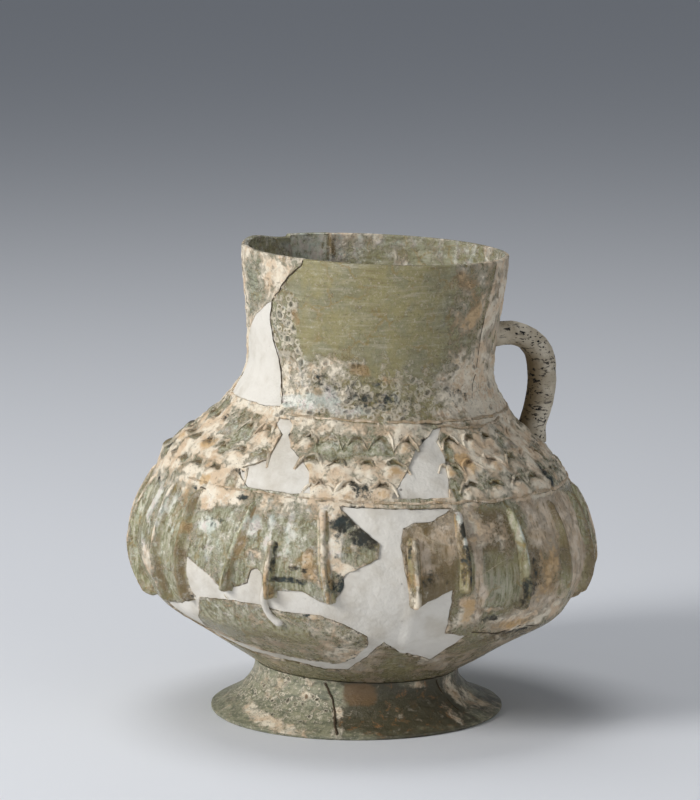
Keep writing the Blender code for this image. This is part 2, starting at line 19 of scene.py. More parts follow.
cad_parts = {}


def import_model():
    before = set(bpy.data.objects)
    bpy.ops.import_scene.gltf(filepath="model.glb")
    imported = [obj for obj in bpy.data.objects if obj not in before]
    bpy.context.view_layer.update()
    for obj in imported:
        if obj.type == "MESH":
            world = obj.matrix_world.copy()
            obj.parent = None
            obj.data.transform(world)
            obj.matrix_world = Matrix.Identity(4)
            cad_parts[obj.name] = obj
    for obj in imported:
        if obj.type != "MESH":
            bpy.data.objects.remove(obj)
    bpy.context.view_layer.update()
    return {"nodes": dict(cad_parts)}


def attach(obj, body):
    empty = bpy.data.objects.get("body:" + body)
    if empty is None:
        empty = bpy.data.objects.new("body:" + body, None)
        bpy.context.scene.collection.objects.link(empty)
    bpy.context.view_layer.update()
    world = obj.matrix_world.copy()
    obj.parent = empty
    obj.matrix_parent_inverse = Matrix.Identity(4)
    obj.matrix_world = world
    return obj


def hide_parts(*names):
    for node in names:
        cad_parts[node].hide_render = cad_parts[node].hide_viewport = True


LOG = logging.getLogger("glass_jug")
Colour = tuple[float, float, float, float]
Outline = list[tuple[float, float]]


def srgb(red: int, green: int, blue: int) -> Colour:
    """Turns a screen colour from 0 to 255 into Blender's linear one."""
    def linear(value: int) -> float:
        share = value / 255
        return share / 12.92 if share <= 0.04045 else ((share + 0.055) / 1.055) ** 2.4
    return (linear(red), linear(green), linear(blue), 1.0)


class Stain(Enum):
    """The kinds of weathering that are painted on the glass, each as an attribute of its mesh; the dark and brown
    kinds also carry painted shade, and the pearly kind painted highlights and painted light.
    """

    CRUST = "crust"
    PINK = "pink"
    OCHRE = "ochre"
    DARK = "dark"
    PEARL_AND_PAINTED_LIGHT = "pearl_and_painted_light"
    BROWN = "brown"
    GREEN = "green"
    RINGS = "rings"


@dataclass(frozen=True)
class Patch:
    """One stained place on the wall. A few patches are painted highlights and painted shade, laid down as stains.

    Attributes:
        stain: What it is stained with.
        azimuth: Its middle, in degrees.
        height: Its middle, in metres.
        wide: Half its width along the wall, in metres.
        tall: Half its height, in metres.
        strength: How much it adds at its middle.
        slant: How far it is turned from upright, in degrees.
    """

    stain: Stain
    azimuth: float
    height: float
    wide: float
    tall: float
    strength: float = 0.8
    slant: float = 0.0

    @classmethod
    def several(cls, stain: Stain, *rows: tuple[float, ...]) -> tuple["Patch", ...]:
        """Makes patches of one stain from rows in degrees and millimetres, in the order of the attributes."""
        return tuple(cls(stain, azimuth, height / 1000, wide / 1000, tall / 1000, *rest)
                     for azimuth, height, wide, tall, *rest in rows)


@dataclass(frozen=True)
class Wall:
    """The turned wall, as the solids have it: rises between its zones and the outer radii where they meet."""

    foot_height: float = 0.0155
    under_bowl_rise: float = 0.0115
    rib_foot_rise: float = 0.011
    belly_rise: float = 0.017
    shoulder_rise: float = 0.0243
    scale_band_rise: float = 0.0217
    neck_base_rise: float = 0.012
    neck_rise: float = 0.037
    radii: tuple[float, ...] = (0.033, 0.051, 0.0668, 0.0735, 0.065, 0.0446, 0.0398, 0.043)
    thickness: float = 0.0022
    base_thickness: float = 0.003
    base_kick: float = 0.0035
    lean: float = math.radians(2.5)

    @cached_property
    def heights(self) -> tuple[float, ...]:
        """The heights where the zones meet, from the joint with the foot up to the rim."""
        rises = (self.under_bowl_rise, self.rib_foot_rise, self.belly_rise, self.shoulder_rise,
                 self.scale_band_rise, self.neck_base_rise, self.neck_rise)
        return tuple(self.foot_height + sum(rises[:i]) for i in range(len(rises) + 1))

    @property
    def belly(self) -> float:
        """The height of the widest ring."""
        return self.heights[3]

    @property
    def shoulder(self) -> float:
        """The height of the thread round the shoulder."""
        return self.heights[4]

    @property
    def neck_thread(self) -> float:
        """The height of the thread round the foot of the neck."""
        return self.heights[5]

    @property
    def rim(self) -> float:
        """The height of the rim."""
        return self.heights[7]

    @property
    def joint_offset(self) -> float:
        """How far left of the origin the foot stands."""
        return -math.sin(self.lean) * (self.belly - self.foot_height)

    def slopes(self) -> list[float]:
        """Gives each meeting of two zones a slope that keeps the wall's curve from overshooting."""
        steps = list(zip(self.heights, self.radii))
        secants = [(r2 - r1) / (h2 - h1) for (h1, r1), (h2, r2) in zip(steps, steps[1:])]
        between = [0.0 if a * b <= 0 else 2 * a * b / (a + b) for a, b in zip(secants, secants[1:])]
        return [secants[0], *between, secants[-1]]

    @cached_property
    def table(self) -> tuple[np.ndarray, np.ndarray, np.ndarray]:
        """The heights where the zones meet, with the radii and slopes there."""
        return np.array(self.heights), np.array(self.radii), np.array(self.slopes())

    def radius(self, height: float | np.ndarray) -> float | np.ndarray:
        """Returns the outer radius at a height or at many."""
        heights, radii, slopes = self.table
        zone = np.clip(np.searchsorted(heights, height, side="right") - 1, 0, len(heights) - 2)
        span = heights[zone + 1] - heights[zone]
        t = (height - heights[zone]) / span
        rise = (1 + 2 * t) * (1 - t) ** 2 * radii[zone] + t * t * (3 - 2 * t) * radii[zone + 1]
        return rise + span * (t * (1 - t) ** 2 * slopes[zone] - t * t * (1 - t) * slopes[zone + 1])

    def normal(self, height: float | np.ndarray) -> tuple:
        """Returns the outward normal in the profile, as (along the radius, along the height)."""
        step = 1e-5
        slope = (self.radius(height + step) - self.radius(height - step)) / (2 * step)
        length = np.sqrt(1 + slope ** 2)
        return 1 / length, -slope / length

    def point(self, azimuth: float, height: float, out: float = 0.0) -> Vector:
        """Returns a point of the wall, or one that stands off it along its normal."""
        along_radius, along_height = self.normal(height)
        radius = self.radius(height) + out * along_radius
        angle = math.radians(azimuth)
        return Vector((radius * math.sin(angle), -radius * math.cos(angle), height + out * along_height))

    def share(self, zone: tuple[float, float], share: float) -> float:
        """Returns the height at a share of a zone."""
        return zone[0] + (zone[1] - zone[0]) * share

    def lean_matrix(self) -> Matrix:
        """Returns what leans the upright jug over on its foot."""
        base = Matrix.Translation((0.0, 0.0, -self.foot_height))
        place = Matrix.Translation((self.joint_offset, 0.0, self.foot_height))
        return place @ Matrix.Rotation(self.lean, 4, "Y") @ base


class Shaping:
    """Blender's modelling tools, with the selection kept tidy between them."""

    @staticmethod
    def only(piece: bpy.types.Object) -> None:
        """Makes one object the selected and active one."""
        for other in bpy.context.selected_objects:
            other.select_set(False)
        piece.select_set(True)
        bpy.context.view_layer.objects.active = piece

    @staticmethod
    def name_last(name: str) -> bpy.types.Object:
        """Names the object that an operator has just added."""
        piece = bpy.context.active_object
        piece.name = name
        piece.data.name = name
        return piece

    @classmethod
    def deselect(cls) -> None:
        """Leaves nothing selected, so that an operator adds to nothing."""
        for other in bpy.context.selected_objects:
            other.select_set(False)

    @classmethod
    def spun(cls, name: str, profile: Sequence[tuple[float, float]], steps: int,
             start: float = 0.0, sweep: float = 360.0) -> bpy.types.Object:
        """Bends a divided edge into a profile and spins it round the upright axis.

        Args:
            name: The new object's name.
            profile: The profile's (radius, height) points; a closed one ends where it starts.
            steps: How many segments the turn has.
            start: The azimuth where it starts.
            sweep: How far round it goes; the ends of a part turn are closed.

        Returns:
            The turned object, its seam and poles merged and its faces pointing out.
        """
        cls.deselect()
        bpy.ops.mesh.primitive_plane_add(size=0.01)
        piece = cls.name_last(name)
        bpy.ops.object.mode_set(mode="EDIT")
        mesh = bmesh.from_edit_mesh(piece.data)
        for vertex in mesh.verts:
            vertex.select = vertex.co.y > 0
        mesh.select_flush_mode()
        bpy.ops.mesh.delete(type="VERT")
        bpy.ops.mesh.select_all(action="SELECT")
        mesh = bmesh.from_edit_mesh(piece.data)
        while len(mesh.verts) < len(profile):
            bpy.ops.mesh.subdivide(number_cuts=1)
            mesh = bmesh.from_edit_mesh(piece.data)
        angle = math.radians(start)
        for i, vertex in enumerate(sorted(mesh.verts, key=lambda found: found.co.x)):
            radius, height = profile[min(i, len(profile) - 1)]
            vertex.co = (radius * math.sin(angle), -radius * math.cos(angle), height)
        bmesh.update_edit_mesh(piece.data)
        bpy.ops.mesh.select_all(action="SELECT")
        bpy.ops.mesh.remove_doubles(threshold=1e-6)
        bpy.ops.mesh.select_all(action="SELECT")
        bpy.ops.mesh.spin(steps=steps, angle=-math.radians(sweep), center=(0.0, 0.0, 0.0), axis=(0.0, 0.0, 1.0))
        bpy.ops.mesh.select_all(action="SELECT")
        bpy.ops.mesh.remove_doubles(threshold=1e-6)
        if sweep < 360.0:
            bpy.ops.mesh.select_all(action="SELECT")
            bpy.ops.mesh.fill_holes(sides=0)
        bpy.ops.mesh.select_all(action="SELECT")
        bpy.ops.mesh.normals_make_consistent(inside=False)
        bpy.ops.object.mode_set(mode="OBJECT")
        return piece

    @classmethod
    def rod(cls, name: str, points: Sequence[Vector], radii: Sequence[float], closed: bool = False,
            sides: int = 2) -> bpy.types.Object:
        """Makes a rod along a line of points, as a curve with a round bevel that is then made a mesh."""
        curve = bpy.data.curves.new(name, "CURVE")
        curve.dimensions = "3D"
        curve.twist_mode = "MINIMUM"
        curve.bevel_depth = 1.0
        curve.bevel_resolution = sides
        curve.use_fill_caps = True
        spline = curve.splines.new("POLY")
        spline.points.add(len(points) - 1)
        spline.use_cyclic_u = closed
        for spline_point, place, radius in zip(spline.points, points, radii):
            spline_point.co = (*place, 1.0)
            spline_point.radius = radius
        rod = bpy.data.objects.new(name, curve)
        bpy.context.scene.collection.objects.link(rod)
        cls.only(rod)
        bpy.ops.object.convert(target="MESH")
        rod = bpy.context.active_object
        bpy.ops.object.mode_set(mode="EDIT")
        bpy.ops.mesh.select_all(action="SELECT")
        bpy.ops.mesh.remove_doubles(threshold=1e-6)
        bpy.ops.mesh.normals_make_consistent(inside=False)
        bpy.ops.object.mode_set(mode="OBJECT")
        return rod

    @classmethod
    def join(cls, pieces: Sequence[bpy.types.Object], name: str) -> bpy.types.Object:
        """Joins pieces into one object."""
        cls.only(pieces[0])
        for piece in pieces:
            piece.select_set(True)
        bpy.ops.object.join()
        return cls.name_last(name)

    @classmethod
    def cut(cls, piece: bpy.types.Object, cutter: bpy.types.Object, operation: str) -> None:
        """Applies an exact Boolean with a cutter."""
        cls.only(piece)
        boolean = piece.modifiers.new("cut", "BOOLEAN")
        boolean.object = cutter
        boolean.operation = operation
        boolean.solver = "EXACT"
        bpy.ops.object.modifier_apply(modifier=boolean.name)

    @classmethod
    def smooth(cls, piece: bpy.types.Object, degrees: float = 40.0) -> None:
        """Shades a piece smooth and keeps its sharp edges."""
        cls.only(piece)
        bpy.ops.object.shade_smooth_by_angle(angle=math.radians(degrees))

    @classmethod
    def leaned(cls, piece: bpy.types.Object, wall: Wall) -> None:
        """Leans an upright piece over with the jug, and puts its place into its mesh."""
        piece.matrix_world = wall.lean_matrix() @ piece.matrix_world
        cls.only(piece)
        bpy.ops.object.transform_apply(location=True, rotation=True, scale=True)

    @staticmethod
    def places(piece: bpy.types.Object) -> np.ndarray:
        """Returns a mesh's points, one to a row."""
        flat = np.empty(len(piece.data.vertices) * 3, np.float32)
        piece.data.vertices.foreach_get("co", flat)
        return flat.reshape(-1, 3).astype(float)

    @staticmethod
    def set_places(piece: bpy.types.Object, places: np.ndarray) -> None:
        """Moves a mesh's points."""
        piece.data.vertices.foreach_set("co", places.astype(np.float32).ravel())
        piece.data.update()


def grain(places: np.ndarray, size: float, seed: float, octaves: int = 3) -> np.ndarray:
    """Returns smooth noise of about -1 to 1 at many points.

    Args:
        places: The points, one to a row.
        size: The size of the noise's largest lumps, in metres.
        seed: Shifts the noise, so that two of them differ.
        octaves: How many finer layers it has.
    """
    shift = Vector((seed * 17.3, seed * 7.1, seed * 3.7))
    return np.array([noise.fractal(Vector(place) / size + shift, 0.6, 2.1, octaves) for place in places])


def ramp(values: np.ndarray, low: float, high: float) -> np.ndarray:
    """Rises smoothly from 0 at one value to 1 at another."""
    t = np.clip((values - low) / (high - low), 0.0, 1.0)
    return t * t * (3 - 2 * t)


def between(values: np.ndarray, low: float, high: float, soft: float) -> np.ndarray:
    """Is 1 between two values and falls off softly outside them."""
    return ramp(values, low - soft, low + soft) * (1 - ramp(values, high - soft, high + soft))


def turn(azimuth: np.ndarray, middle: float) -> np.ndarray:
    """Returns how far round azimuths are from a middle one, from -180 to 180."""
    return (azimuth - middle + 180.0) % 360.0 - 180.0


def inside(azimuth: float, share: float, outline: Outline) -> bool:
    """Tells whether a place is inside an outline."""
    found = False
    for (a1, s1), (a2, s2) in zip(outline, outline[1:] + outline[:1]):
        if (s1 > share) != (s2 > share) and azimuth < a1 + (share - s1) * (a2 - a1) / (s2 - s1):
            found = not found
    return found


def crack_line(name: str, width: float, line: Sequence[tuple[float, float]],
               place: Callable[[float, float], Vector]) -> bpy.types.Object:
    """Makes what fills a glued crack, as an uneven thread that lies in a surface.

    Args:
        name: The new object's name.
        width: How wide the crack is.
        line: Its corners, as (azimuth, height).
        place: Gives the surface's point for an azimuth and a height.
    """
    points, radii = [], []
    for (a1, h1), (a2, h2) in zip(line, line[1:]):
        steps = max(2, round((place(a1, h1) - place(a2, h2)).length / 0.0008))
        for k in range(steps):
            t = k / steps
            spot = Vector((a1 + (a2 - a1) * t, (h1 + (h2 - h1) * t) * 1000, 0.0))
            azimuth = spot.x + 0.5 * noise.noise(spot * 0.35)
            height = spot.y / 1000 + 0.0003 * noise.noise(spot * 0.5 + Vector((7, 0, 0)))
            points.append(place(azimuth, height))
            radii.append(width / 2 * (0.5 + 0.9 * abs(noise.noise(spot * 0.6 + Vector((0, 5, 0))))))
    return Shaping.rod(name, points, radii, sides=0)


@dataclass
class Mixer:
    """Lays out the nodes of one material.

    Attributes:
        material: The material.
    """

    material: bpy.types.Material

    @classmethod
    def start(cls, name: str) -> "Mixer":
        """Starts a material with its shader and output."""
        material = bpy.data.materials.new(name)
        material.use_nodes = True
        return cls(material)

    @property
    def tree(self) -> bpy.types.NodeTree:
        """The material's node tree."""
        return self.material.node_tree

    @property
    def shader(self) -> bpy.types.Node:
        """The material's one shader."""
        return self.tree.nodes["Principled BSDF"]

    def node(self, kind: str, **settings: object) -> bpy.types.Node:
        """Adds a node and sets its options."""
        made = self.tree.nodes.new(kind)
        for option, value in settings.items():
            setattr(made, option, value)
        return made

    def feed(self, socket: bpy.types.NodeSocket, value: object) -> None:
        """Links a socket to another, or sets its value."""
        if isinstance(value, bpy.types.NodeSocket):
            self.tree.links.new(value, socket)
        else:
            socket.default_value = value

    def where(self, stretch: tuple[float, float, float] = (1.0, 1.0, 1.0),
              turned: tuple[float, float, float] = (0.0, 0.0, 0.0)) -> bpy.types.NodeSocket:
        """Returns the object's own coordinates, stretched or turned."""
        mapping = self.node("ShaderNodeMapping")
        mapping.inputs["Scale"].default_value = stretch
        mapping.inputs["Rotation"].default_value = turned
        self.feed(mapping.inputs["Vector"], self.node("ShaderNodeTexCoord").outputs["Object"])
        return mapping.outputs["Vector"]

    def noise(self, size: float, detail: float = 3.0, rough: float = 0.6, warp: float = 0.0,
              at: bpy.types.NodeSocket | None = None) -> bpy.types.NodeSocket:
        """Returns noise from 0 to 1 whose lumps are about so many metres across."""
        texture = self.node("ShaderNodeTexNoise")
        texture.inputs["Scale"].default_value = 1.0 / size
        texture.inputs["Detail"].default_value = detail
        texture.inputs["Roughness"].default_value = rough
        texture.inputs["Distortion"].default_value = warp
        self.feed(texture.inputs["Vector"], at or self.where())
        return texture.outputs["Fac"]

    def cells(self, size: float, feature: str = "F1",
              at: bpy.types.NodeSocket | None = None) -> bpy.types.NodeSocket:
        """Returns the distance to the middles of cells of about a size, or to their edges."""
        texture = self.node("ShaderNodeTexVoronoi", feature=feature)
        texture.inputs["Scale"].default_value = 1.0 / size
        self.feed(texture.inputs["Vector"], at or self.where())
        return texture.outputs["Distance"]

    def shaken(self, size: float, reach: float, stretch: tuple[float, float, float] = (1.0, 1.0, 1.0)
               ) -> bpy.types.NodeSocket:
        """Returns the object's coordinates, each moved up to a reach by noise of a size."""
        texture = self.node("ShaderNodeTexNoise")
        texture.inputs["Scale"].default_value = 1.0 / size
        texture.inputs["Detail"].default_value = 3.0
        self.feed(texture.inputs["Vector"], self.where())
        centred = self.node("ShaderNodeVectorMath", operation="SUBTRACT")
        self.feed(centred.inputs[0], texture.outputs["Color"])
        centred.inputs[1].default_value = (0.5, 0.5, 0.5)
        scaled = self.node("ShaderNodeVectorMath", operation="SCALE")
        self.feed(scaled.inputs[0], centred.outputs[0])
        scaled.inputs["Scale"].default_value = 2.0 * reach
        moved = self.node("ShaderNodeVectorMath", operation="ADD")
        self.feed(moved.inputs[0], self.where())
        self.feed(moved.inputs[1], scaled.outputs[0])
        mapping = self.node("ShaderNodeMapping")
        mapping.inputs["Scale"].default_value = stretch
        self.feed(mapping.inputs["Vector"], moved.outputs[0])
        return mapping.outputs["Vector"]

    def rings(self, size: float, low: float, high: float) -> bpy.types.NodeSocket:
        """Returns uneven rings in cells of a size, between two distances from the cells' middles."""
        distance = self.cells(size, "F1", self.shaken(size * 0.5, size * 0.24))
        soft = (high - low) * 0.5
        return self.sum("MULTIPLY", self.step(distance, low - soft, low),
                        self.step(distance, high, high + soft, 1.0, 0.0))

    def level(self) -> bpy.types.NodeSocket:
        """Returns the height above the floor."""
        split = self.node("ShaderNodeSeparateXYZ")
        self.feed(split.inputs[0], self.where())
        return split.outputs["Z"]

    def painted(self, name: str) -> bpy.types.NodeSocket:
        """Returns what was painted on the mesh under a name."""
        return self.node("ShaderNodeAttribute", attribute_name=name).outputs["Fac"]

    def sum(self, operation: str, first: object, second: object = 0.0) -> bpy.types.NodeSocket:
        """Returns a sum of two values."""
        made = self.node("ShaderNodeMath", operation=operation)
        self.feed(made.inputs[0], first)
        self.feed(made.inputs[1], second)
        return made.outputs[0]

    def step(self, value: object, low: float, high: float, start: float = 0.0,
             end: float = 1.0) -> bpy.types.NodeSocket:
        """Rises from one value to another as its input goes from low to high."""
        made = self.node("ShaderNodeMapRange", interpolation_type="SMOOTHSTEP")
        for name, number in (("From Min", low), ("From Max", high), ("To Min", start), ("To Max", end)):
            made.inputs[name].default_value = number
        self.feed(made.inputs["Value"], value)
        return made.outputs["Result"]

    def blend(self, share: object, first: object, second: object, mode: str = "MIX") -> bpy.types.NodeSocket:
        """Mixes two colours."""
        made = self.node("ShaderNodeMix", data_type="RGBA", blend_type=mode)
        self.feed(made.inputs[0], share)
        self.feed(made.inputs[6], first)
        self.feed(made.inputs[7], second)
        return made.outputs[2]

    def broken(self, mask: object, texture: object, reach: float, soft: float) -> bpy.types.NodeSocket:
        """Breaks a painted mask's edge up with a texture.

        Args:
            mask: The painted mask.
            texture: A texture from 0 to 1.
            reach: How far the texture moves the mask's edge.
            soft: How soft the edge stays.
        """
        moved = self.sum("ADD", mask, self.sum("MULTIPLY", self.sum("SUBTRACT", texture, 0.5), reach))
        return self.step(moved, 0.5 - soft, 0.5 + soft)

    def relief(self, height: object, depth: float, under: bpy.types.NodeSocket | None = None
               ) -> bpy.types.NodeSocket:
        """Returns a normal that is bumped by a height from 0 to 1 times a depth in metres."""
        bump = self.node("ShaderNodeBump")
        bump.inputs["Strength"].default_value = 1.0
        bump.inputs["Distance"].default_value = depth
        self.feed(bump.inputs["Height"], height)
        if under is not None:
            self.feed(bump.inputs["Normal"], under)
        return bump.outputs["Normal"]

    def set(self, **values: object) -> None:
        """Sets or links the shader's sockets, each named with _ for a space."""
        for name, value in values.items():
            self.feed(self.shader.inputs[name.replace("_", " ")], value)


@dataclass(frozen=True)
class Crust:
    """The cream to tan crust that weathering leaves, which every glass finish shares."""

    cream: Colour = srgb(232, 220, 198)
    tan: Colour = srgb(214, 190, 160)
    rust: Colour = srgb(178, 144, 104)
    pit: Colour = srgb(98, 84, 62)
    lump: float = 0.006
    fine: float = 0.0011

    def colour(self, mixer: Mixer) -> bpy.types.NodeSocket:
        """Returns its mottled colour."""
        body = mixer.blend(mixer.step(mixer.noise(self.lump, 4.0, 0.6, 0.4), 0.42, 0.62), self.cream, self.tan)
        body = mixer.blend(mixer.step(mixer.noise(self.lump * 1.7, 4.0, 0.7), 0.56, 0.72, 0.0, 0.75), body, self.rust)
        return mixer.blend(mixer.step(mixer.noise(self.fine, 4.0, 0.75), 0.56, 0.7, 0.0, 0.8), body, self.pit)


@dataclass(frozen=True)
class WeatheredGlass:
    """Olive glass that is partly hidden by what was painted on it: crust, bloom, stains and pearly flaking, with
    painted shade in its dark layer and painted highlights and painted light in its pearly layer.
    """

    name: str = "weathered_glass_looks"
    olive: Colour = srgb(180, 170, 118)
    grey: Colour = srgb(164, 159, 122)
    green: Colour = srgb(208, 208, 178)
    deep_green: Colour = srgb(142, 147, 112)
    vein: Colour = srgb(172, 146, 82)
    pink: Colour = srgb(232, 214, 192)
    ochre: Colour = srgb(194, 158, 106)
    dark: Colour = srgb(56, 52, 38)
    slate: Colour = srgb(50, 60, 57)
    pearl_and_painted_light: Colour = srgb(240, 238, 226)
    lilac: Colour = srgb(236, 224, 216)
    sky: Colour = srgb(216, 222, 210)
    brown: Colour = srgb(136, 112, 72)
    clearness: float = 0.38
    neck_foot: float = 0.1
    crust: Crust = field(default_factory=Crust)

    def glass(self, mixer: Mixer, clouds: object, streaks: object) -> bpy.types.NodeSocket:
        """Returns the colour of the bare glass, with its streaks, veins and flecks."""
        body = mixer.blend(mixer.step(clouds, 0.38, 0.62), self.olive, self.grey)
        pale = mixer.blend(mixer.step(streaks, 0.4, 0.58), self.deep_green, self.green)
        body = mixer.blend(mixer.painted(Stain.GREEN.value), body, pale)
        body = mixer.blend(mixer.step(streaks, 0.36, 0.5, 0.5, 0.0), body, self.brown)
        body = mixer.blend(mixer.step(streaks, 0.5, 0.66, 0.0, 0.6), body, self.crust.cream)
        edges = mixer.cells(0.011, "DISTANCE_TO_EDGE", mixer.shaken(0.004, 0.004))
        veins = mixer.sum("MULTIPLY", mixer.step(edges, 0.0, 0.07, 1.0, 0.0), mixer.step(clouds, 0.42, 0.6))
        body = mixer.blend(mixer.sum("MULTIPLY", veins, 0.7), body, self.vein)
        specks = mixer.noise(0.0011, 4.0, 0.8)
        body = mixer.blend(mixer.step(specks, 0.54, 0.68, 0.0, 0.7), body, self.crust.cream)
        return mixer.blend(mixer.step(specks, 0.32, 0.42, 0.45, 0.0), body, self.dark)

    def material(self) -> bpy.types.Material:
        """Builds the material."""
        mixer = Mixer.start(self.name)
        fine = mixer.noise(0.0009, 5.0, 0.75)
        middle = mixer.noise(0.0032, 5.0, 0.7, 0.5)
        clouds = mixer.noise(0.008, 4.0, 0.6, 0.5)
        along = mixer.noise(0.0012, 4.0, 0.65, 0.2, mixer.where((1.0, 1.0, 0.13)))
        across = mixer.noise(0.0011, 4.0, 0.65, 0.2, mixer.where((0.12, 0.12, 1.0)))
        on_neck = mixer.step(mixer.level(), self.neck_foot, self.neck_foot + 0.004)
        across = mixer.sum("ADD", mixer.sum("MULTIPLY", across, 0.6), 0.19)
        streaks = mixer.sum("ADD", mixer.sum("MULTIPLY", across, on_neck),
                            mixer.sum("MULTIPLY", along, mixer.sum("SUBTRACT", 1.0, on_neck)))
        ragged = mixer.sum("ADD", mixer.sum("MULTIPLY", middle, 0.6), mixer.sum("MULTIPLY", fine, 0.4))

        brown = mixer.broken(mixer.painted(Stain.BROWN.value), streaks, 1.2, 0.3)
        pink = mixer.broken(mixer.painted(Stain.PINK.value), mixer.noise(0.005, 5.0, 0.7, 0.4), 0.9, 0.26)
        crust = mixer.broken(mixer.painted(Stain.CRUST.value), ragged, 2.5, 0.26)
        ochre = mixer.broken(mixer.painted(Stain.OCHRE.value), middle, 1.6, 0.25)
        dark = mixer.broken(mixer.painted(Stain.DARK.value), mixer.noise(0.0021, 5.0, 0.75), 2.3, 0.22)
        pearl_and_painted_light = mixer.broken(mixer.painted(Stain.PEARL_AND_PAINTED_LIGHT.value), mixer.noise(0.0026, 4.0, 0.7), 2.0, 0.36)
        ringed = mixer.broken(mixer.painted(Stain.RINGS.value), middle, 2.0, 0.2)
        rings = mixer.sum("MULTIPLY", mixer.sum("MAXIMUM", mixer.rings(0.0044, 0.22, 0.34),
                                                mixer.rings(0.0027, 0.28, 0.42)), ringed)
        holes = mixer.sum("MULTIPLY", mixer.rings(0.0044, -0.2, 0.14), ringed)

        bloom = mixer.blend(mixer.step(mixer.noise(0.0035, 4.0, 0.7), 0.42, 0.62), self.pink, self.crust.tan)
        bloom = mixer.blend(mixer.step(along, 0.36, 0.5, 0.7, 0.0), bloom, self.brown)
        pearl_and_highlight_colour = mixer.blend(mixer.step(mixer.noise(0.0028), 0.45, 0.6), self.pearl_and_painted_light, self.lilac)
        pearl_and_highlight_colour = mixer.blend(mixer.step(mixer.noise(0.0034), 0.5, 0.6), pearl_and_highlight_colour, self.sky)
        deep = mixer.blend(mixer.step(mixer.noise(0.006), 0.4, 0.6), self.dark, self.slate)
        body = mixer.blend(mixer.sum("MULTIPLY", brown, 0.8), self.glass(mixer, clouds, streaks), self.brown)
        body = mixer.blend(mixer.sum("MULTIPLY", pink, 0.92), body, bloom)
        body = mixer.blend(crust, body, self.crust.colour(mixer))
        body = mixer.blend(mixer.sum("MULTIPLY", rings, 0.8), body, self.crust.cream)
        body = mixer.blend(mixer.sum("MULTIPLY", ochre, 0.75), body, self.ochre)
        # The pearly layer is flaking weathering, and also painted highlights and painted light where it is laid for
        # them.
        body = mixer.blend(mixer.sum("MULTIPLY", pearl_and_painted_light, 0.85), body, pearl_and_highlight_colour)
        # The dark layer is dark stains and pits, and also painted shade under the scale arches, trails and threads and
        # on rib flanks.
        body = mixer.blend(mixer.sum("MAXIMUM", dark, mixer.sum("MULTIPLY", holes, 0.55)), body, deep)

        cover = mixer.sum("MAXIMUM", crust, mixer.sum("MULTIPLY", pink, 0.85))
        cover = mixer.sum("MAXIMUM", cover, mixer.sum("MULTIPLY", pearl_and_painted_light, 0.7))
        cover = mixer.sum("MAXIMUM", cover, mixer.sum("MULTIPLY", rings, 0.8))
        cover = mixer.sum("MAXIMUM", cover, mixer.sum("MULTIPLY", dark, 0.7))
        bare = mixer.sum("SUBTRACT", 1.0, cover)
        lumps = mixer.sum("ADD", mixer.sum("MULTIPLY", crust, 0.5), mixer.sum("MULTIPLY", ragged, 0.6))
        lumps = mixer.sum("SUBTRACT", mixer.sum("ADD", lumps, mixer.sum("MULTIPLY", rings, 0.35)),
                          mixer.sum("MULTIPLY", mixer.sum("MAXIMUM", dark, holes), 0.5))
        lumps = mixer.sum("ADD", lumps, mixer.sum("MULTIPLY", streaks, 0.25))
        mixer.set(
            Base_Color=body,
            Roughness=mixer.step(cover, 0.0, 1.0, 0.16, 0.7),
            Transmission_Weight=mixer.sum("MULTIPLY", bare, self.clearness),
            IOR=1.48,
            Normal=mixer.relief(fine, 0.0002, mixer.relief(lumps, 0.00045)),
        )
        return mixer.material


@dataclass(frozen=True)
class Plaster:
    """The restorer's off-white plaster, rubbed smooth, with a few specks of dirt."""

    name: str = "plaster_looks"
    white: Colour = srgb(219, 214, 204)
    shade: Colour = srgb(200, 193, 180)
    speck: Colour = srgb(96, 88, 78)

    def material(self) -> bpy.types.Material:
        """Builds the material."""
        mixer = Mixer.start(self.name)
        clouds = mixer.noise(0.012, 4.0, 0.6)
        fine = mixer.noise(0.0012, 4.0, 0.6)
        body = mixer.blend(mixer.step(clouds, 0.4, 0.66), self.white, self.shade)
        specks = mixer.step(mixer.cells(0.006), 0.06, 0.1, 1.0, 0.0)
        sparse = mixer.sum("MULTIPLY", specks, mixer.step(mixer.noise(0.014), 0.52, 0.6))
        body = mixer.blend(mixer.sum("MULTIPLY", sparse, 0.85), body, self.speck)
        mixer.set(
            Base_Color=body,
            Roughness=0.85,
            Normal=mixer.relief(fine, 0.00018, mixer.relief(clouds, 0.0008)),
        )
        return mixer.material


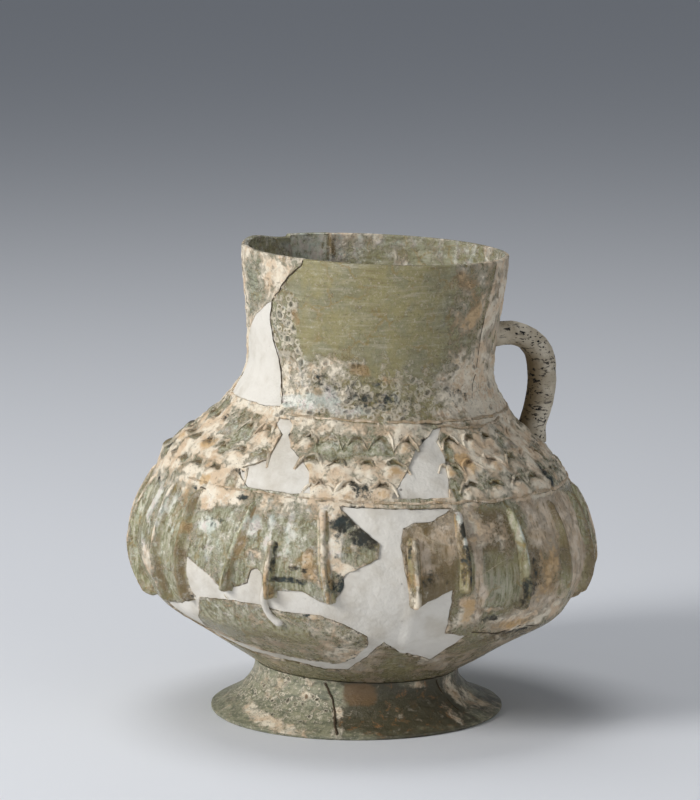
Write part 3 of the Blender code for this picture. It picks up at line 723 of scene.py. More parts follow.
@dataclass(frozen=True)
class DarkFootGlass:
    """The foot's dark grey-green glass, ringed with fine lines and pitted, with cream, pink and orange patches."""

    name: str = "dark_foot_looks"
    green: Colour = srgb(148, 146, 120)
    shade: Colour = srgb(104, 106, 86)
    dark: Colour = srgb(62, 56, 38)
    rust: Colour = srgb(150, 108, 66)
    ochre: Colour = srgb(112, 89, 60)
    crust: Crust = field(default_factory=Crust)

    def material(self) -> bpy.types.Material:
        """Builds the material."""
        mixer = Mixer.start(self.name)
        fine = mixer.noise(0.0012, 5.0, 0.75)
        layered = mixer.noise(0.0042, 5.0, 0.72, 0.4, mixer.where((1.0, 1.0, 3.5)))
        pitted = mixer.painted("pitted")
        sparse = mixer.sum("MULTIPLY", pitted, mixer.step(mixer.noise(0.006, 3.0), 0.4, 0.56))
        rings = mixer.sum("MULTIPLY", mixer.sum("MAXIMUM", mixer.rings(0.0027, 0.22, 0.31),
                                                mixer.rings(0.0017, 0.24, 0.36)), sparse)
        holes = mixer.sum("MULTIPLY", mixer.rings(0.0027, -0.2, 0.13), sparse)
        crust = mixer.broken(mixer.painted(Stain.CRUST.value), mixer.noise(0.0026, 5.0, 0.75, 0.4), 1.9, 0.26)
        deep = mixer.broken(mixer.painted(Stain.DARK.value), mixer.noise(0.005, 5.0, 0.7), 1.2, 0.3)
        ochre = mixer.broken(mixer.painted(Stain.OCHRE.value), mixer.noise(0.003, 4.0, 0.6), 0.8, 0.25)
        flecks = mixer.sum("MULTIPLY", mixer.step(mixer.noise(0.003, 4.0, 0.7, 0.5), 0.56, 0.68, 0.0, 0.7), deep)
        body = mixer.blend(mixer.step(layered, 0.38, 0.6), self.shade, self.green)
        body = mixer.blend(mixer.step(fine, 0.54, 0.68, 0.0, 0.6), body, self.crust.cream)
        body = mixer.blend(mixer.step(fine, 0.32, 0.44, 0.6, 0.0), body, self.dark)
        body = mixer.blend(mixer.sum("MULTIPLY", rings, 0.7), body, self.crust.cream)
        body = mixer.blend(mixer.sum("MULTIPLY", holes, 0.7), body, self.dark)
        body = mixer.blend(mixer.sum("MULTIPLY", deep, 0.85), body, self.dark)
        body = mixer.blend(flecks, body, self.rust)
        body = mixer.blend(mixer.sum("MULTIPLY", crust, 0.9), body, self.crust.colour(mixer))
        body = mixer.blend(mixer.sum("MULTIPLY", ochre, 0.9), body, self.ochre)
        heights = mixer.sum("ADD", mixer.sum("MULTIPLY", layered, 0.5), mixer.sum("MULTIPLY", crust, 0.4))
        heights = mixer.sum("SUBTRACT", mixer.sum("ADD", heights, mixer.sum("MULTIPLY", rings, 0.3)), holes)
        mixer.set(
            Base_Color=body,
            Roughness=mixer.step(crust, 0.0, 1.0, 0.42, 0.75),
            Normal=mixer.relief(fine, 0.0003, mixer.relief(heights, 0.0006)),
        )
        return mixer.material


@dataclass(frozen=True)
class PittedRod:
    """The handle's grey-beige surface with short dark flecks, and painted shade in brown on the side that faces the
    jug.
    """

    name: str = "pitted_rod_looks"
    beige: Colour = srgb(186, 174, 152)
    pale: Colour = srgb(212, 202, 182)
    brown: Colour = srgb(132, 114, 84)
    fleck: Colour = srgb(26, 23, 20)

    def material(self) -> bpy.types.Material:
        """Builds the material."""
        mixer = Mixer.start(self.name)
        fine = mixer.noise(0.0012, 4.0, 0.7)
        body = mixer.blend(mixer.step(mixer.noise(0.006), 0.4, 0.62), self.beige, self.pale)
        # Painted shade: brown on the inner side of the rod, which faces the jug.
        body = mixer.blend(mixer.step(mixer.painted("inner"), 0.35, 0.95), body, self.brown)
        body = mixer.blend(mixer.step(fine, 0.56, 0.7, 0.0, 0.5), body, self.brown)
        marks = mixer.noise(0.0022, 3.0, 0.6, 0.6, mixer.where((0.75, 1.0, 2.2), (0.0, 0.5, 0.0)))
        short = mixer.noise(0.0013, 2.0, 0.5, 0.5, mixer.where((0.8, 1.0, 1.9), (0.0, 0.4, 0.0)))
        crowded = mixer.step(mixer.noise(0.009), 0.36, 0.52)
        flecks = mixer.sum("MAXIMUM", mixer.sum("MULTIPLY", mixer.step(marks, 0.59, 0.63), crowded),
                           mixer.sum("MULTIPLY", mixer.step(short, 0.61, 0.65), crowded))
        body = mixer.blend(flecks, body, self.fleck)
        mixer.set(
            Base_Color=body,
            Roughness=0.72,
            Normal=mixer.relief(fine, 0.0003, mixer.relief(mixer.sum("SUBTRACT", 1.0, flecks), 0.0006)),
        )
        return mixer.material


@dataclass(frozen=True)
class Grime:
    """What fills the glued cracks: dark dirt, or pale crust."""

    name: str = "crack_dirt_looks"
    dark: Colour = srgb(44, 36, 26)
    brown: Colour = srgb(88, 70, 46)

    def material(self) -> bpy.types.Material:
        """Builds the material."""
        mixer = Mixer.start(self.name)
        mixer.set(Base_Color=mixer.blend(mixer.noise(0.003), self.dark, self.brown), Roughness=0.8)
        return mixer.material


@dataclass
class Breaks:
    """Where the wall is lost: the outlines of the plaster and of the one loose sherd, as shares of their zones."""

    wall: Wall
    jitter: float = 0.00035
    spacing: float = 0.0012
    gap: float = 0.00012
    neck: Outline = field(default_factory=lambda: [
        (-53, 0.68), (-50.5, 0.69), (-52, 0.55), (-51, 0.47), (-46.5, 0.36), (-44, 0.15), (-39, 0.04),
        (-48, 0.03), (-68, 0.03), (-84, 0.03), (-88, 0.08), (-84, 0.24), (-79, 0.4), (-67, 0.56),
    ])
    shoulder_left: Outline = field(default_factory=lambda: [
        (-37.5, 0.94), (-32.5, 0.94), (-30, 0.85), (-30.3, 0.74), (-26, 0.57), (-19.5, 0.41), (-17.5, 0.33),
        (-15.5, 0.08), (-20.5, 0.05), (-34.5, 0.05), (-40.5, 0.25), (-33, 0.4), (-32.5, 0.55), (-32.8, 0.74),
        (-37.5, 0.86),
    ])
    shoulder_right: Outline = field(default_factory=lambda: [
        (30, 0.93), (26, 0.9), (17, 0.66), (13.5, 0.47), (9.5, 0.23), (7, 0.07), (23.5, 0.07), (25, 0.32),
        (27, 0.6), (26, 0.76),
    ])
    belly: Outline = field(default_factory=lambda: [
        (-7, 0.975), (4, 0.815), (3.5, 0.75), (-4.3, 0.67), (-4.6, 0.595), (-7, 0.53), (-10, 0.525),
        (-14.5, 0.57), (-21.5, 0.56), (-26.3, 0.66), (-28, 0.645), (-29, 0.58), (-36.5, 0.51), (-40, 0.58),
        (-44, 0.615), (-48, 0.65), (-52.5, 0.71), (-50.3, 0.58), (-49.3, 0.51), (-47, 0.45), (-55, 0.385),
        (-66.5, 0.345), (-66, 0.25), (-60, 0.17), (-48, 0.12), (-25, 0.115), (-14, 0.09), (-4, 0.1),
        (2.8, 0.2), (6.6, 0.32), (12, 0.255), (27, 0.17), (27.5, 0.225), (28.6, 0.305), (29.6, 0.34),
        (23, 0.365), (22.3, 0.5), (22.2, 0.6), (17, 0.55), (13, 0.505), (10.6, 0.645), (9, 0.81), (9.8, 0.89),
        (13, 0.915), (17.6, 0.92), (23.5, 0.975),
    ])
    sherd: Outline = field(default_factory=lambda: [
        (-45.5, 0.45), (-35, 0.47), (-25.7, 0.47), (-21, 0.45), (-10, 0.45), (-4.2, 0.41), (1.9, 0.35),
        (2.4, 0.285), (-1.2, 0.195), (-7.3, 0.14), (-20, 0.15), (-28.5, 0.16), (-42, 0.175), (-51, 0.205),
        (-54.5, 0.25), (-49, 0.35),
    ])

    @property
    def belly_zone(self) -> tuple[float, float]:
        """The zone from the joint up to the shoulder thread."""
        return self.wall.foot_height, self.wall.shoulder

    @property
    def shoulder_zone(self) -> tuple[float, float]:
        """The scale band."""
        return self.wall.shoulder, self.wall.neck_thread

    @property
    def neck_zone(self) -> tuple[float, float]:
        """The neck."""
        return self.wall.neck_thread, self.wall.rim

    def fills(self) -> dict[str, tuple[Outline, tuple[float, float]]]:
        """Returns each plaster fill's outline and zone, by the name of its solid."""
        return {
            "plaster_neck": (self.neck, self.neck_zone),
            "plaster_shoulder_left": (self.shoulder_left, self.shoulder_zone),
            "plaster_shoulder_right": (self.shoulder_right, self.shoulder_zone),
            "plaster_belly": (self.belly, self.belly_zone),
        }

    def edge(self, outline: Outline, zone: tuple[float, float], grow: float) -> list[tuple[float, float]]:
        """Returns a break's edge as a fine ragged line.

        Args:
            outline: Its corners, as (azimuth, share of the zone's height).
            zone: The zone's lower and upper height.
            grow: How far the edge is moved outwards, in metres.

        Returns:
            The line's points as (azimuth, height).
        """
        radius = float(self.wall.radius(sum(zone) / 2))
        flat = [Vector((math.radians(a) * radius, self.wall.share(zone, s))) for a, s in outline]
        area = sum(before.cross(corner) for before, corner in zip(flat[-1:] + flat, flat))
        points = []
        for i, corner in enumerate(flat):
            after = flat[(i + 1) % len(flat)]
            run = after - corner
            side = Vector((run.y, -run.x)).normalized() * (1.0 if area > 0 else -1.0)
            steps = max(1, round(run.length / self.spacing))
            for k in range(steps):
                place = corner + run * k / steps
                ragged = noise.noise(Vector((place.x, place.y, 0.0)) / 0.0021)
                ragged += 0.5 * noise.noise(Vector((place.x, place.y, 0.01)) / 0.0009)
                place = place + side * (grow + self.jitter * ragged)
                points.append((math.degrees(place.x / radius), place.y))
        return points

    def cutter(self, name: str, outline: Outline, zone: tuple[float, float], grow: float,
               inner: float = 0.3, outer: float = 2.0) -> bpy.types.Object:
        """Makes the solid that cuts one break through the wall along rays from inside the jug."""
        mesh = bmesh.new()
        near, far = [], []
        for azimuth, height in self.edge(outline, zone, grow):
            start = Vector((0.0, 0.0, height if zone == self.neck_zone else self.wall.belly))
            reach = self.wall.point(azimuth, height) - start
            near.append(mesh.verts.new(start + reach * inner))
            far.append(mesh.verts.new(start + reach * outer))
        mesh.faces.new(reversed(near))
        mesh.faces.new(far)
        for i in range(len(near)):
            j = (i + 1) % len(near)
            mesh.faces.new((near[i], near[j], far[j], far[i]))
        bmesh.ops.triangulate(mesh, faces=mesh.faces[:])
        if mesh.calc_volume(signed=True) < 0:
            bmesh.ops.reverse_faces(mesh, faces=mesh.faces[:])
        data = bpy.data.meshes.new(name)
        mesh.to_mesh(data)
        mesh.free()
        cutter = bpy.data.objects.new(name, data)
        bpy.context.scene.collection.objects.link(cutter)
        return cutter


@dataclass
class ScaleBand:
    """Rows of overlapping scales between the two threads, each row one wavy trail wherever it isn't lost."""

    wall: Wall
    breaks: Breaks
    rows: int = 3
    around: int = 40
    thread: float = 0.0016
    thickness: float = 0.0014
    clearance: float = 0.0004
    points_per_scale: int = 9
    wander: float = 0.0014
    handle_azimuth: float = 102.0
    handle_half: float = 10.5
    handle_low: float = 0.085

    @property
    def step(self) -> float:
        """The angle from one scale to the next."""
        return 360.0 / self.around

    @property
    def margin(self) -> float:
        """The room that the thread takes beside the lowest and highest row."""
        return (self.thread + self.thickness) / 2 + self.clearance

    @property
    def pitch(self) -> float:
        """The height from one row to the next."""
        return (self.wall.neck_thread - self.wall.shoulder - 2 * self.margin) / self.rows

    @property
    def rise(self) -> float:
        """The height of an arch."""
        return self.pitch - self.thickness - self.clearance

    def base(self, row: int) -> float:
        """The height of a row's points."""
        return self.wall.shoulder + self.margin + row * self.pitch

    def lost(self, azimuth: float, height: float) -> bool:
        """Tells whether a scale's place is plaster or is taken by the handle."""
        azimuth = (azimuth + 180.0) % 360.0 - 180.0
        low, high = self.breaks.shoulder_zone
        share = (height - low) / (high - low)
        if inside(azimuth, share, self.breaks.shoulder_left) or inside(azimuth, share, self.breaks.shoulder_right):
            return True
        return abs(azimuth - self.handle_azimuth) < self.handle_half and height > self.handle_low

    def runs(self, row: int) -> list[list[float]]:
        """Returns the starts of the scales in each unbroken stretch of a row."""
        starts = [(i + row % 2 / 2) * self.step for i in range(self.around)]
        lost = [self.lost(start + self.step / 2, self.base(row) + self.rise / 2) for start in starts]
        first = lost.index(True)
        found, run = [], []
        for i in range(first, first + self.around + 1):
            if not lost[i % self.around]:
                run.append(starts[i % self.around] + 360.0 * (i // self.around))
            elif run:
                found.append(run)
                run = []
        return found

    def shape(self, start: float, row: int) -> tuple[float, float]:
        """Returns how far one scale's top is pushed sideways and how high it is, each its own."""
        seed = Vector((start * 0.083, row * 4.7, 0.0))
        return 0.5 * noise.noise(seed) * self.step, 0.85 + 0.6 * noise.noise(seed + Vector((5.0, 0.0, 0.0)))

    def trail(self, name: str, row: int, starts: list[float]) -> tuple[bpy.types.Object, np.ndarray, np.ndarray]:
        """Makes one run of scales as an uneven trail, more than half sunk in the wall.

        Args:
            name: The new object's name.
            row: The row that it is in.
            starts: The azimuths where its scales start.

        Returns:
            The trail, and at each of its points how far it is on the under side, which sets its painted shade, and how
            thick it is there.
        """
        places = [(start, i / self.points_per_scale) for start in starts for i in range(self.points_per_scale)]
        places.append((starts[-1], 1.0))
        points, radii = [], []
        for start, t in places:
            push, tall = self.shape(start, row)
            azimuth = start + self.step * t + push * math.sin(math.pi * t)
            arch = math.sin(math.pi * t) ** 0.62
            shake = Vector((azimuth * 0.9, row * 11.0, arch * 2))
            height = self.base(row) + self.rise * arch * tall + self.wander * noise.noise(shake)
            points.append(self.wall.point(azimuth, height, -0.08 * self.thickness))
            swell = 0.6 + 0.42 * arch + 0.75 * noise.noise(shake * 0.45 + Vector((0, 0, 3)))
            radii.append(self.thickness / 2 * min(max(swell, 0.28), 1.35))
        rod = Shaping.rod(name, points, radii, sides=1)
        spots = Shaping.places(rod)
        line = np.array([tuple(point) for point in points])
        nearest = np.argmin(np.linalg.norm(spots[:, None, :] - line[None, :, :], axis=2), axis=1)
        thick = np.array(radii)[nearest]
        under = np.clip((line[nearest, 2] - spots[:, 2]) / thick, 0.0, 1.0)
        return rod, under, thick / self.thickness * 2

    def under_arch(self, azimuth: np.ndarray, height: np.ndarray) -> tuple[np.ndarray, np.ndarray, np.ndarray]:
        """Describes the dishes under the arches.

        Args:
            azimuth: The azimuths of many points.
            height: Their heights.

        Returns:
            How much painted shade each point gets under an arch, how proud the dish's lower half stands there, and a
            number from 0 to 1 that is the same all over one dish.
        """
        dark = np.zeros_like(height)
        proud = np.zeros_like(height)
        dish = np.full_like(height, 0.5)
        for row in range(self.rows):
            turned = azimuth % 360.0 / self.step - row % 2 / 2
            t = turned % 1.0
            arch = np.sin(np.pi * t) ** 0.62
            share = (height - self.base(row)) / self.rise
            below = arch - share
            here = (share > -0.3) & (share < 1.05)
            # Painted shade: a dark crescent just under each arch's top, where the trail overhangs the dish.
            dark = np.maximum(dark, here * between(below, 0.1, 0.38, 0.1) * between(t, 0.25, 0.75, 0.14))
            proud = np.maximum(proud, here * between(below, 0.5, 1.1, 0.2) * between(t, 0.25, 0.75, 0.2))
            number = np.sin((np.floor(turned) + 61.0 * row) * 12.9898) * 43758.5453
            dish = np.where(here & (below > 0), number - np.floor(number), dish)
        return dark, proud, dish

    def build(self, painting: "Painting") -> list[bpy.types.Object]:
        """Makes and paints every run of scales, in the order of the solids, with painted shade on their under sides.
        """
        trails = []
        for row in range(self.rows):
            for starts in self.runs(row):
                trail, under, thick = self.trail(f"scales_{row + 1}_{len(trails) + 1:02d}", row, starts)
                crest = 1.0 - under
                # Painted shade: each trail's under side is darkened with dark and brown.
                painting.paint(trail, {Stain.CRUST: 0.1 * crest, Stain.DARK: 0.35 * under * (thick > 0.8),
                                       Stain.BROWN: 0.8 * under, Stain.PINK: 0.2 * crest},
                               np.clip(crest, 0.6, 1.0))
                trails.append(trail)
        return trails


@dataclass
class Painting:
    """What weathering has left on each place of the wall, and so also on the trails and ribs that lie on it, with
    painted shade under the scale arches and painted light in a few highlights and lightened places.
    """

    wall: Wall
    breaks: Breaks
    scales: ScaleBand
    edge_width: float = 0.0007
    neck_crack: tuple[tuple[float, float], ...] = (
        (-31.8, 0.1495), (-32.3, 0.148), (-39, 0.144), (-50, 0.135), (-52, 0.129), (-50, 0.123), (-46, 0.117),
        (-43, 0.109), (-38, 0.1025))
    neck_ridge: tuple[tuple[float, float], ...] = (
        (62.8, 0.1493), (61, 0.141), (58, 0.128), (57, 0.115), (49.5, 0.1045))
    shoulder_crack: tuple[tuple[float, float], ...] = (
        (-58, 0.0795), (-53, 0.0775), (-44, 0.0772), (-35, 0.077), (-33, 0.0765), (-24, 0.0768))
    low_crack: tuple[tuple[float, float], ...] = (
        (31, 0.0387), (40, 0.0372), (48, 0.0389), (60, 0.0365))
    panel_cracks: tuple[tuple[tuple[float, float], ...], ...] = (
        ((29.4, 0.058), (37, 0.062), (41.8, 0.0644)), ((13.6, 0.0712), (17, 0.0688), (20.9, 0.0673)),
        ((15, 0.0672), (19, 0.0655)), ((-36, 0.0475), (-33.5, 0.0415)), ((-21, 0.043), (-15.5, 0.0395)))
    patches: tuple[Patch, ...] = (
        *Patch.several(
            Stain.OCHRE, (41, 144.7, 6, 3.5, 0.5), (50, 137, 3, 6, 0.42), (-5, 116.4, 4, 2.2, 0.75),
            (8, 113.5, 3, 2, 0.5), (-36, 131, 1.6, 3, 0.65), (42, 126, 8, 12, 0.3), (-12.5, 60.5, 2, 5, 0.55),
            (-56.5, 70.5, 2.2, 8, 0.36, 10), (-50.5, 65.5, 1.8, 2, 0.8), (-31.5, 65.5, 1.3, 5, 0.7, 8),
            (-17, 61, 4, 3, 0.45), (12.5, 57, 2.5, 3, 0.6), (52.5, 56, 5, 8.5, 0.55), (27.5, 46.5, 2, 5, 0.6),
            (33.3, 90.5, 2.5, 2, 0.9), (-50.6, 80.3, 2.2, 1.8, 0.9), (-61, 89.5, 3.5, 2, 0.6),
            (44, 40, 10, 1.5, 0.5)),
        *Patch.several(
            Stain.CRUST, (-48, 144.5, 5, 4, 0.45), (-20, 117, 6, 4, 0.3), (46, 116.5, 2.2, 7, 0.38),
            (-7.6, 65.5, 2, 4, 0.75), (-4, 59.5, 4, 2, 0.6, 25), (5.2, 63.5, 1.3, 6, 0.8), (-68, 50, 6, 6, 0.5),
            (-27.5, 61.5, 3, 2, 0.5), (33.5, 70.5, 7, 5, 0.25), (52.5, 56, 5, 8.5, 0.35), (27, 46.5, 3, 6, 0.6),
            (44, 40.5, 14, 3.5, 0.4), (64, 41.5, 12, 4, 0.4), (-6, 33, 6, 7, 0.3), (-28, 29, 12, 3, 0.25),
            (34.5, 46.5, 4, 0.7, 0.8)),
        *Patch.several(
            Stain.PINK, (-47, 143.5, 3, 3, 0.6), (45, 113, 2, 6, 0.6), (-16.5, 107.2, 2.2, 3, 0.9, -35),
            (34, 103.5, 6, 1.5, 0.8), (-13.5, 61, 1.6, 4, 0.7), (29.2, 62, 1.3, 14, 0.9), (53, 70, 7, 8, 0.85),
            (69.5, 62, 6, 17, 1), (56, 47, 8, 6, 0.6), (40, 40.5, 10, 3, 0.5), (30.5, 48, 1.6, 7, 0.6)),
        # The two slanted pearly patches at -62 and -71 degrees are painted highlights, where the key light glints on
        # the left of the belly; the others are pearly weathering.
        *Patch.several(
            Stain.PEARL_AND_PAINTED_LIGHT, (-29, 105.2, 8, 2.2, 0.8), (-16.5, 107.5, 2, 3.5, 0.9, -35), (-8, 103.5, 7, 1.3, 0.6),
            (-62, 68, 2.2, 6, 0.85, 15), (-71, 69, 2, 6, 0.8, 15), (-29.8, 70, 2.2, 3.5, 0.8),
            (-43, 67.5, 4, 2.2, 0.6), (-19, 69, 1.4, 6, 0.5), (-24.5, 67, 1.2, 6, 0.5)),
        *Patch.several(
            Stain.DARK, (-5, 110, 9, 5, 0.24), (10, 106.5, 10, 3, 0.26), (-22, 113, 4, 3, 0.2),
            (44, 108, 4, 3, 0.25), (-4.6, 74.2, 2.8, 4.6, 0.72, 38), (0, 69.2, 3.8, 3, 0.68, 20),
            (-19, 55.2, 6, 1.1, 0.75), (-15.5, 58.8, 3, 0.9, 0.6), (-4, 54.5, 5, 3, 0.42),
            (-40, 68.5, 4, 2, 0.4), (17, 57, 6, 3, 0.3), (35.5, 43.2, 4, 1.2, 0.5), (48, 37, 10, 0.9, 0.6),
            (46.8, 54.5, 1.2, 9, 0.5), (-1.2, 82.5, 3, 2.2, 0.55), (66, 83, 1.8, 4, 0.7), (-53, 77, 1.4, 0.9, 0.8),
            (-34.5, 77.3, 2.2, 0.8, 0.8), (-75, 75.5, 2.5, 1.4, 0.6, 30)),
        *Patch.several(
            Stain.BROWN, (-2, 111.5, 16, 6, 0.3), (17, 61, 7, 13, 0.9), (8.2, 61, 2.2, 12, 0.9),
            (33.5, 71, 8, 6, 0.75), (47.5, 54, 2.5, 11, 1), (-0.5, 85.4, 2, 1.6, 0.9)),
        *Patch.several(Stain.GREEN, (35.5, 52.5, 5.5, 6.5, 0.6), (-9, 92.5, 3, 3, 0.9), (67, 83, 2.2, 5, 1)),
    )
    bare: tuple[Patch, ...] = Patch.several(
        Stain.CRUST, (-40.3, 81.5, 2.2, 2.6), (-51, 90.2, 2, 2.4), (-79, 98, 4, 4), (-11, 93.5, 5, 3),
        (29, 90.5, 1.5, 6), (26.5, 81.5, 1.3, 4), (67, 83, 2.2, 5), (-23, 87, 3, 3), (35.5, 52.5, 5.5, 6.5),
        (17, 61, 8, 13))

    def polar(self, places: np.ndarray) -> tuple[np.ndarray, np.ndarray, np.ndarray]:
        """Returns the azimuth, height and radius of many points."""
        azimuth = np.degrees(np.arctan2(places[:, 0], -places[:, 1]))
        return azimuth, places[:, 2], np.hypot(places[:, 0], places[:, 1])

    def is_inside(self, height: np.ndarray, radius: np.ndarray) -> np.ndarray:
        """Tells which points are on the inner side of the wall."""
        along_radius, _ = self.wall.normal(height)
        return radius < self.wall.radius(height) - 0.6 * self.wall.thickness / along_radius

    def patch_cover(self, patch: Patch, azimuth: np.ndarray, height: np.ndarray, radius: np.ndarray) -> np.ndarray:
        """Returns how strongly one patch covers each point."""
        across = np.radians(turn(azimuth, patch.azimuth)) * radius
        up = (height - patch.height) * 1.15
        angle = math.radians(patch.slant)
        x = across * math.cos(angle) - up * math.sin(angle)
        y = across * math.sin(angle) + up * math.cos(angle)
        return patch.strength * np.exp(-((x / patch.wide) ** 4 + (y / patch.tall) ** 4) / 1.5)

    def left_of(self, line: tuple[tuple[float, float], ...], azimuth: np.ndarray, height: np.ndarray) -> np.ndarray:
        """Returns how many degrees to the left of a line from top to bottom each point is."""
        heights = [h for _, h in reversed(line)]
        azimuths = [a for a, _ in reversed(line)]
        return -turn(azimuth, np.interp(height, heights, azimuths))

    def near_break(self, azimuth: np.ndarray, height: np.ndarray, radius: np.ndarray) -> np.ndarray:
        """Returns how close each point is to the edge of a break, from 0 to 1."""
        found = np.zeros(len(azimuth))
        outlines = [*self.breaks.fills().values(), (self.breaks.sherd, self.breaks.belly_zone)]
        for outline, zone in outlines:
            edge = np.array(self.breaks.edge(outline, zone, 0.0))
            close = (azimuth > edge[:, 0].min() - 3) & (azimuth < edge[:, 0].max() + 3)
            close &= (height > edge[:, 1].min() - 0.003) & (height < edge[:, 1].max() + 0.003)
            chosen = np.flatnonzero(close)
            for part in np.array_split(chosen, max(1, len(chosen) // 4000)):
                across = np.radians(azimuth[part, None] - edge[None, :, 0]) * radius[part, None]
                up = height[part, None] - edge[None, :, 1]
                distance = np.sqrt((across ** 2 + up ** 2).min(axis=1))
                found[part] = np.maximum(found[part], 1 - ramp(distance, 0.3 * self.edge_width, self.edge_width * 1.6))
        return found

    def stains(self, places: np.ndarray) -> dict[Stain, np.ndarray]:
        """Returns how strongly each stain covers each point."""
        azimuth, height, radius = self.polar(places)
        within = self.is_inside(height, radius)
        large = grain(places, 0.014, 1.0)
        small = grain(places, 0.004, 2.0)
        found = {stain: np.zeros(len(places)) for stain in Stain}
        self.paint_neck(found, azimuth, height, large, small)
        self.paint_scales(found, azimuth, height, large, small)
        self.paint_belly(found, azimuth, height, large, small)
        for patch in self.patches:
            found[patch.stain] += self.patch_cover(patch, azimuth, height, radius)
        for patch in self.bare:
            found[patch.stain] *= 1 - self.patch_cover(patch, azimuth, height, radius)
        edge = self.near_break(azimuth, height, radius)
        found[Stain.BROWN] += 0.5 * edge
        found[Stain.CRUST] += edge * (0.2 + 0.4 * small)
        found[Stain.DARK] += 0.3 * edge * (0.3 + small)
        self.paint_inside(found, within, azimuth, height, large, small)
        return {stain: np.clip(cover, 0.0, 1.0) for stain, cover in found.items()}

    def paint_neck(self, found: dict[Stain, np.ndarray], azimuth: np.ndarray, height: np.ndarray,
                   large: np.ndarray, small: np.ndarray) -> None:
        """Paints the neck: clear above, pitted and ringed below and at the left, streaked pink at the right, with
        painted light as extra cream from 36 to 62 degrees.
        """
        neck = ramp(height, 0.0995, 0.1008)
        front = between(azimuth, -60.0, 75.0, 8.0)
        low = 1 - ramp(height, 0.108, 0.128)
        side = self.left_of(self.neck_crack, azimuth, height)
        beside_crack = between(-side, 0.0, 16.0, 4.0) * (1 - ramp(height, 0.128, 0.146))
        left_sherd = ramp(side, -0.5, 0.5) * (1 - ramp(side + 30 * large, 85.0, 125.0)) * (azimuth < 0)
        beyond_ridge = ramp(-self.left_of(self.neck_ridge, azimuth, height), -0.5, 1.0) * between(
            azimuth, 40.0, 100.0, 4.0)
        found[Stain.CRUST] += neck * (0.12 + 0.16 * large + 0.32 * low + 0.22 * beside_crack)
        found[Stain.CRUST] += neck * left_sherd * (0.52 + 0.2 * large)
        # Painted light: extra cream from 36 to 62 degrees lightens the neck there, for the light that shines through
        # its thin glass.
        found[Stain.CRUST] += neck * between(azimuth, 36.0, 62.0, 8.0) * (0.4 + 0.25 * large)
        found[Stain.OCHRE] += neck * between(azimuth, 36.0, 62.0, 8.0) * (0.12 + 0.3 * large)
        found[Stain.RINGS] += neck * (0.75 * low + 0.9 * beside_crack + 0.45 * left_sherd + 0.3 * large)
        found[Stain.RINGS] += neck * between(azimuth, 35.0, 55.0, 6.0) * 0.35
        found[Stain.DARK] += neck * low * front * (0.06 + 0.16 * small)
        found[Stain.GREEN] += neck * (0.85 * left_sherd + 0.6 * beside_crack + 0.45 * (1 - front) + 0.15 * large)
        found[Stain.GREEN] += neck * between(azimuth, 30.0, 56.0, 5.0) * 0.25
        found[Stain.PINK] += neck * beyond_ridge * (0.6 + 0.6 * small) * (0.6 + 0.4 * ramp(height, 0.11, 0.125))
        found[Stain.CRUST] += neck * beyond_ridge * (0.5 + 0.4 * large)
        found[Stain.CRUST] += neck * (1 - front) * (1 - left_sherd) * (0.12 + 0.4 * large)
        found[Stain.PINK] += neck * (1 - front) * (0.15 + 0.3 * large)
        found[Stain.PEARL_AND_PAINTED_LIGHT] += neck * (0.1 + 0.25 * small) * (low + beside_crack)
        found[Stain.BROWN] += neck * beyond_ridge * 0.3

    def paint_scales(self, found: dict[Stain, np.ndarray], azimuth: np.ndarray, height: np.ndarray,
                     large: np.ndarray, small: np.ndarray) -> None:
        """Paints the scale band: cream and tan dishes, with painted shade in dark and brown under their upper edges.
        """
        band = between(height, self.wall.shoulder - 0.0012, self.wall.neck_thread - 0.0005, 0.0007)
        dark, proud, dish = self.scales.under_arch(azimuth, height)
        found[Stain.CRUST] += band * (0.68 + 0.35 * large + 0.25 * proud - 0.4 * dark - 0.5 * (dish > 0.82))
        found[Stain.GREEN] += band * 0.8
        found[Stain.OCHRE] += band * (proud * (dish < 0.16) * 0.5 + 0.06 * (1 + large))
        found[Stain.PINK] += band * (0.3 + 0.4 * large)
        # Painted shade: dark and brown are laid under each arch's top.
        found[Stain.DARK] += band * (dark * (0.24 + 0.4 * small) + 0.1 * small)
        found[Stain.BROWN] += band * (dark * 0.9 + 0.2 * large)
        found[Stain.PEARL_AND_PAINTED_LIGHT] += band * (dish > 0.82) * 0.3

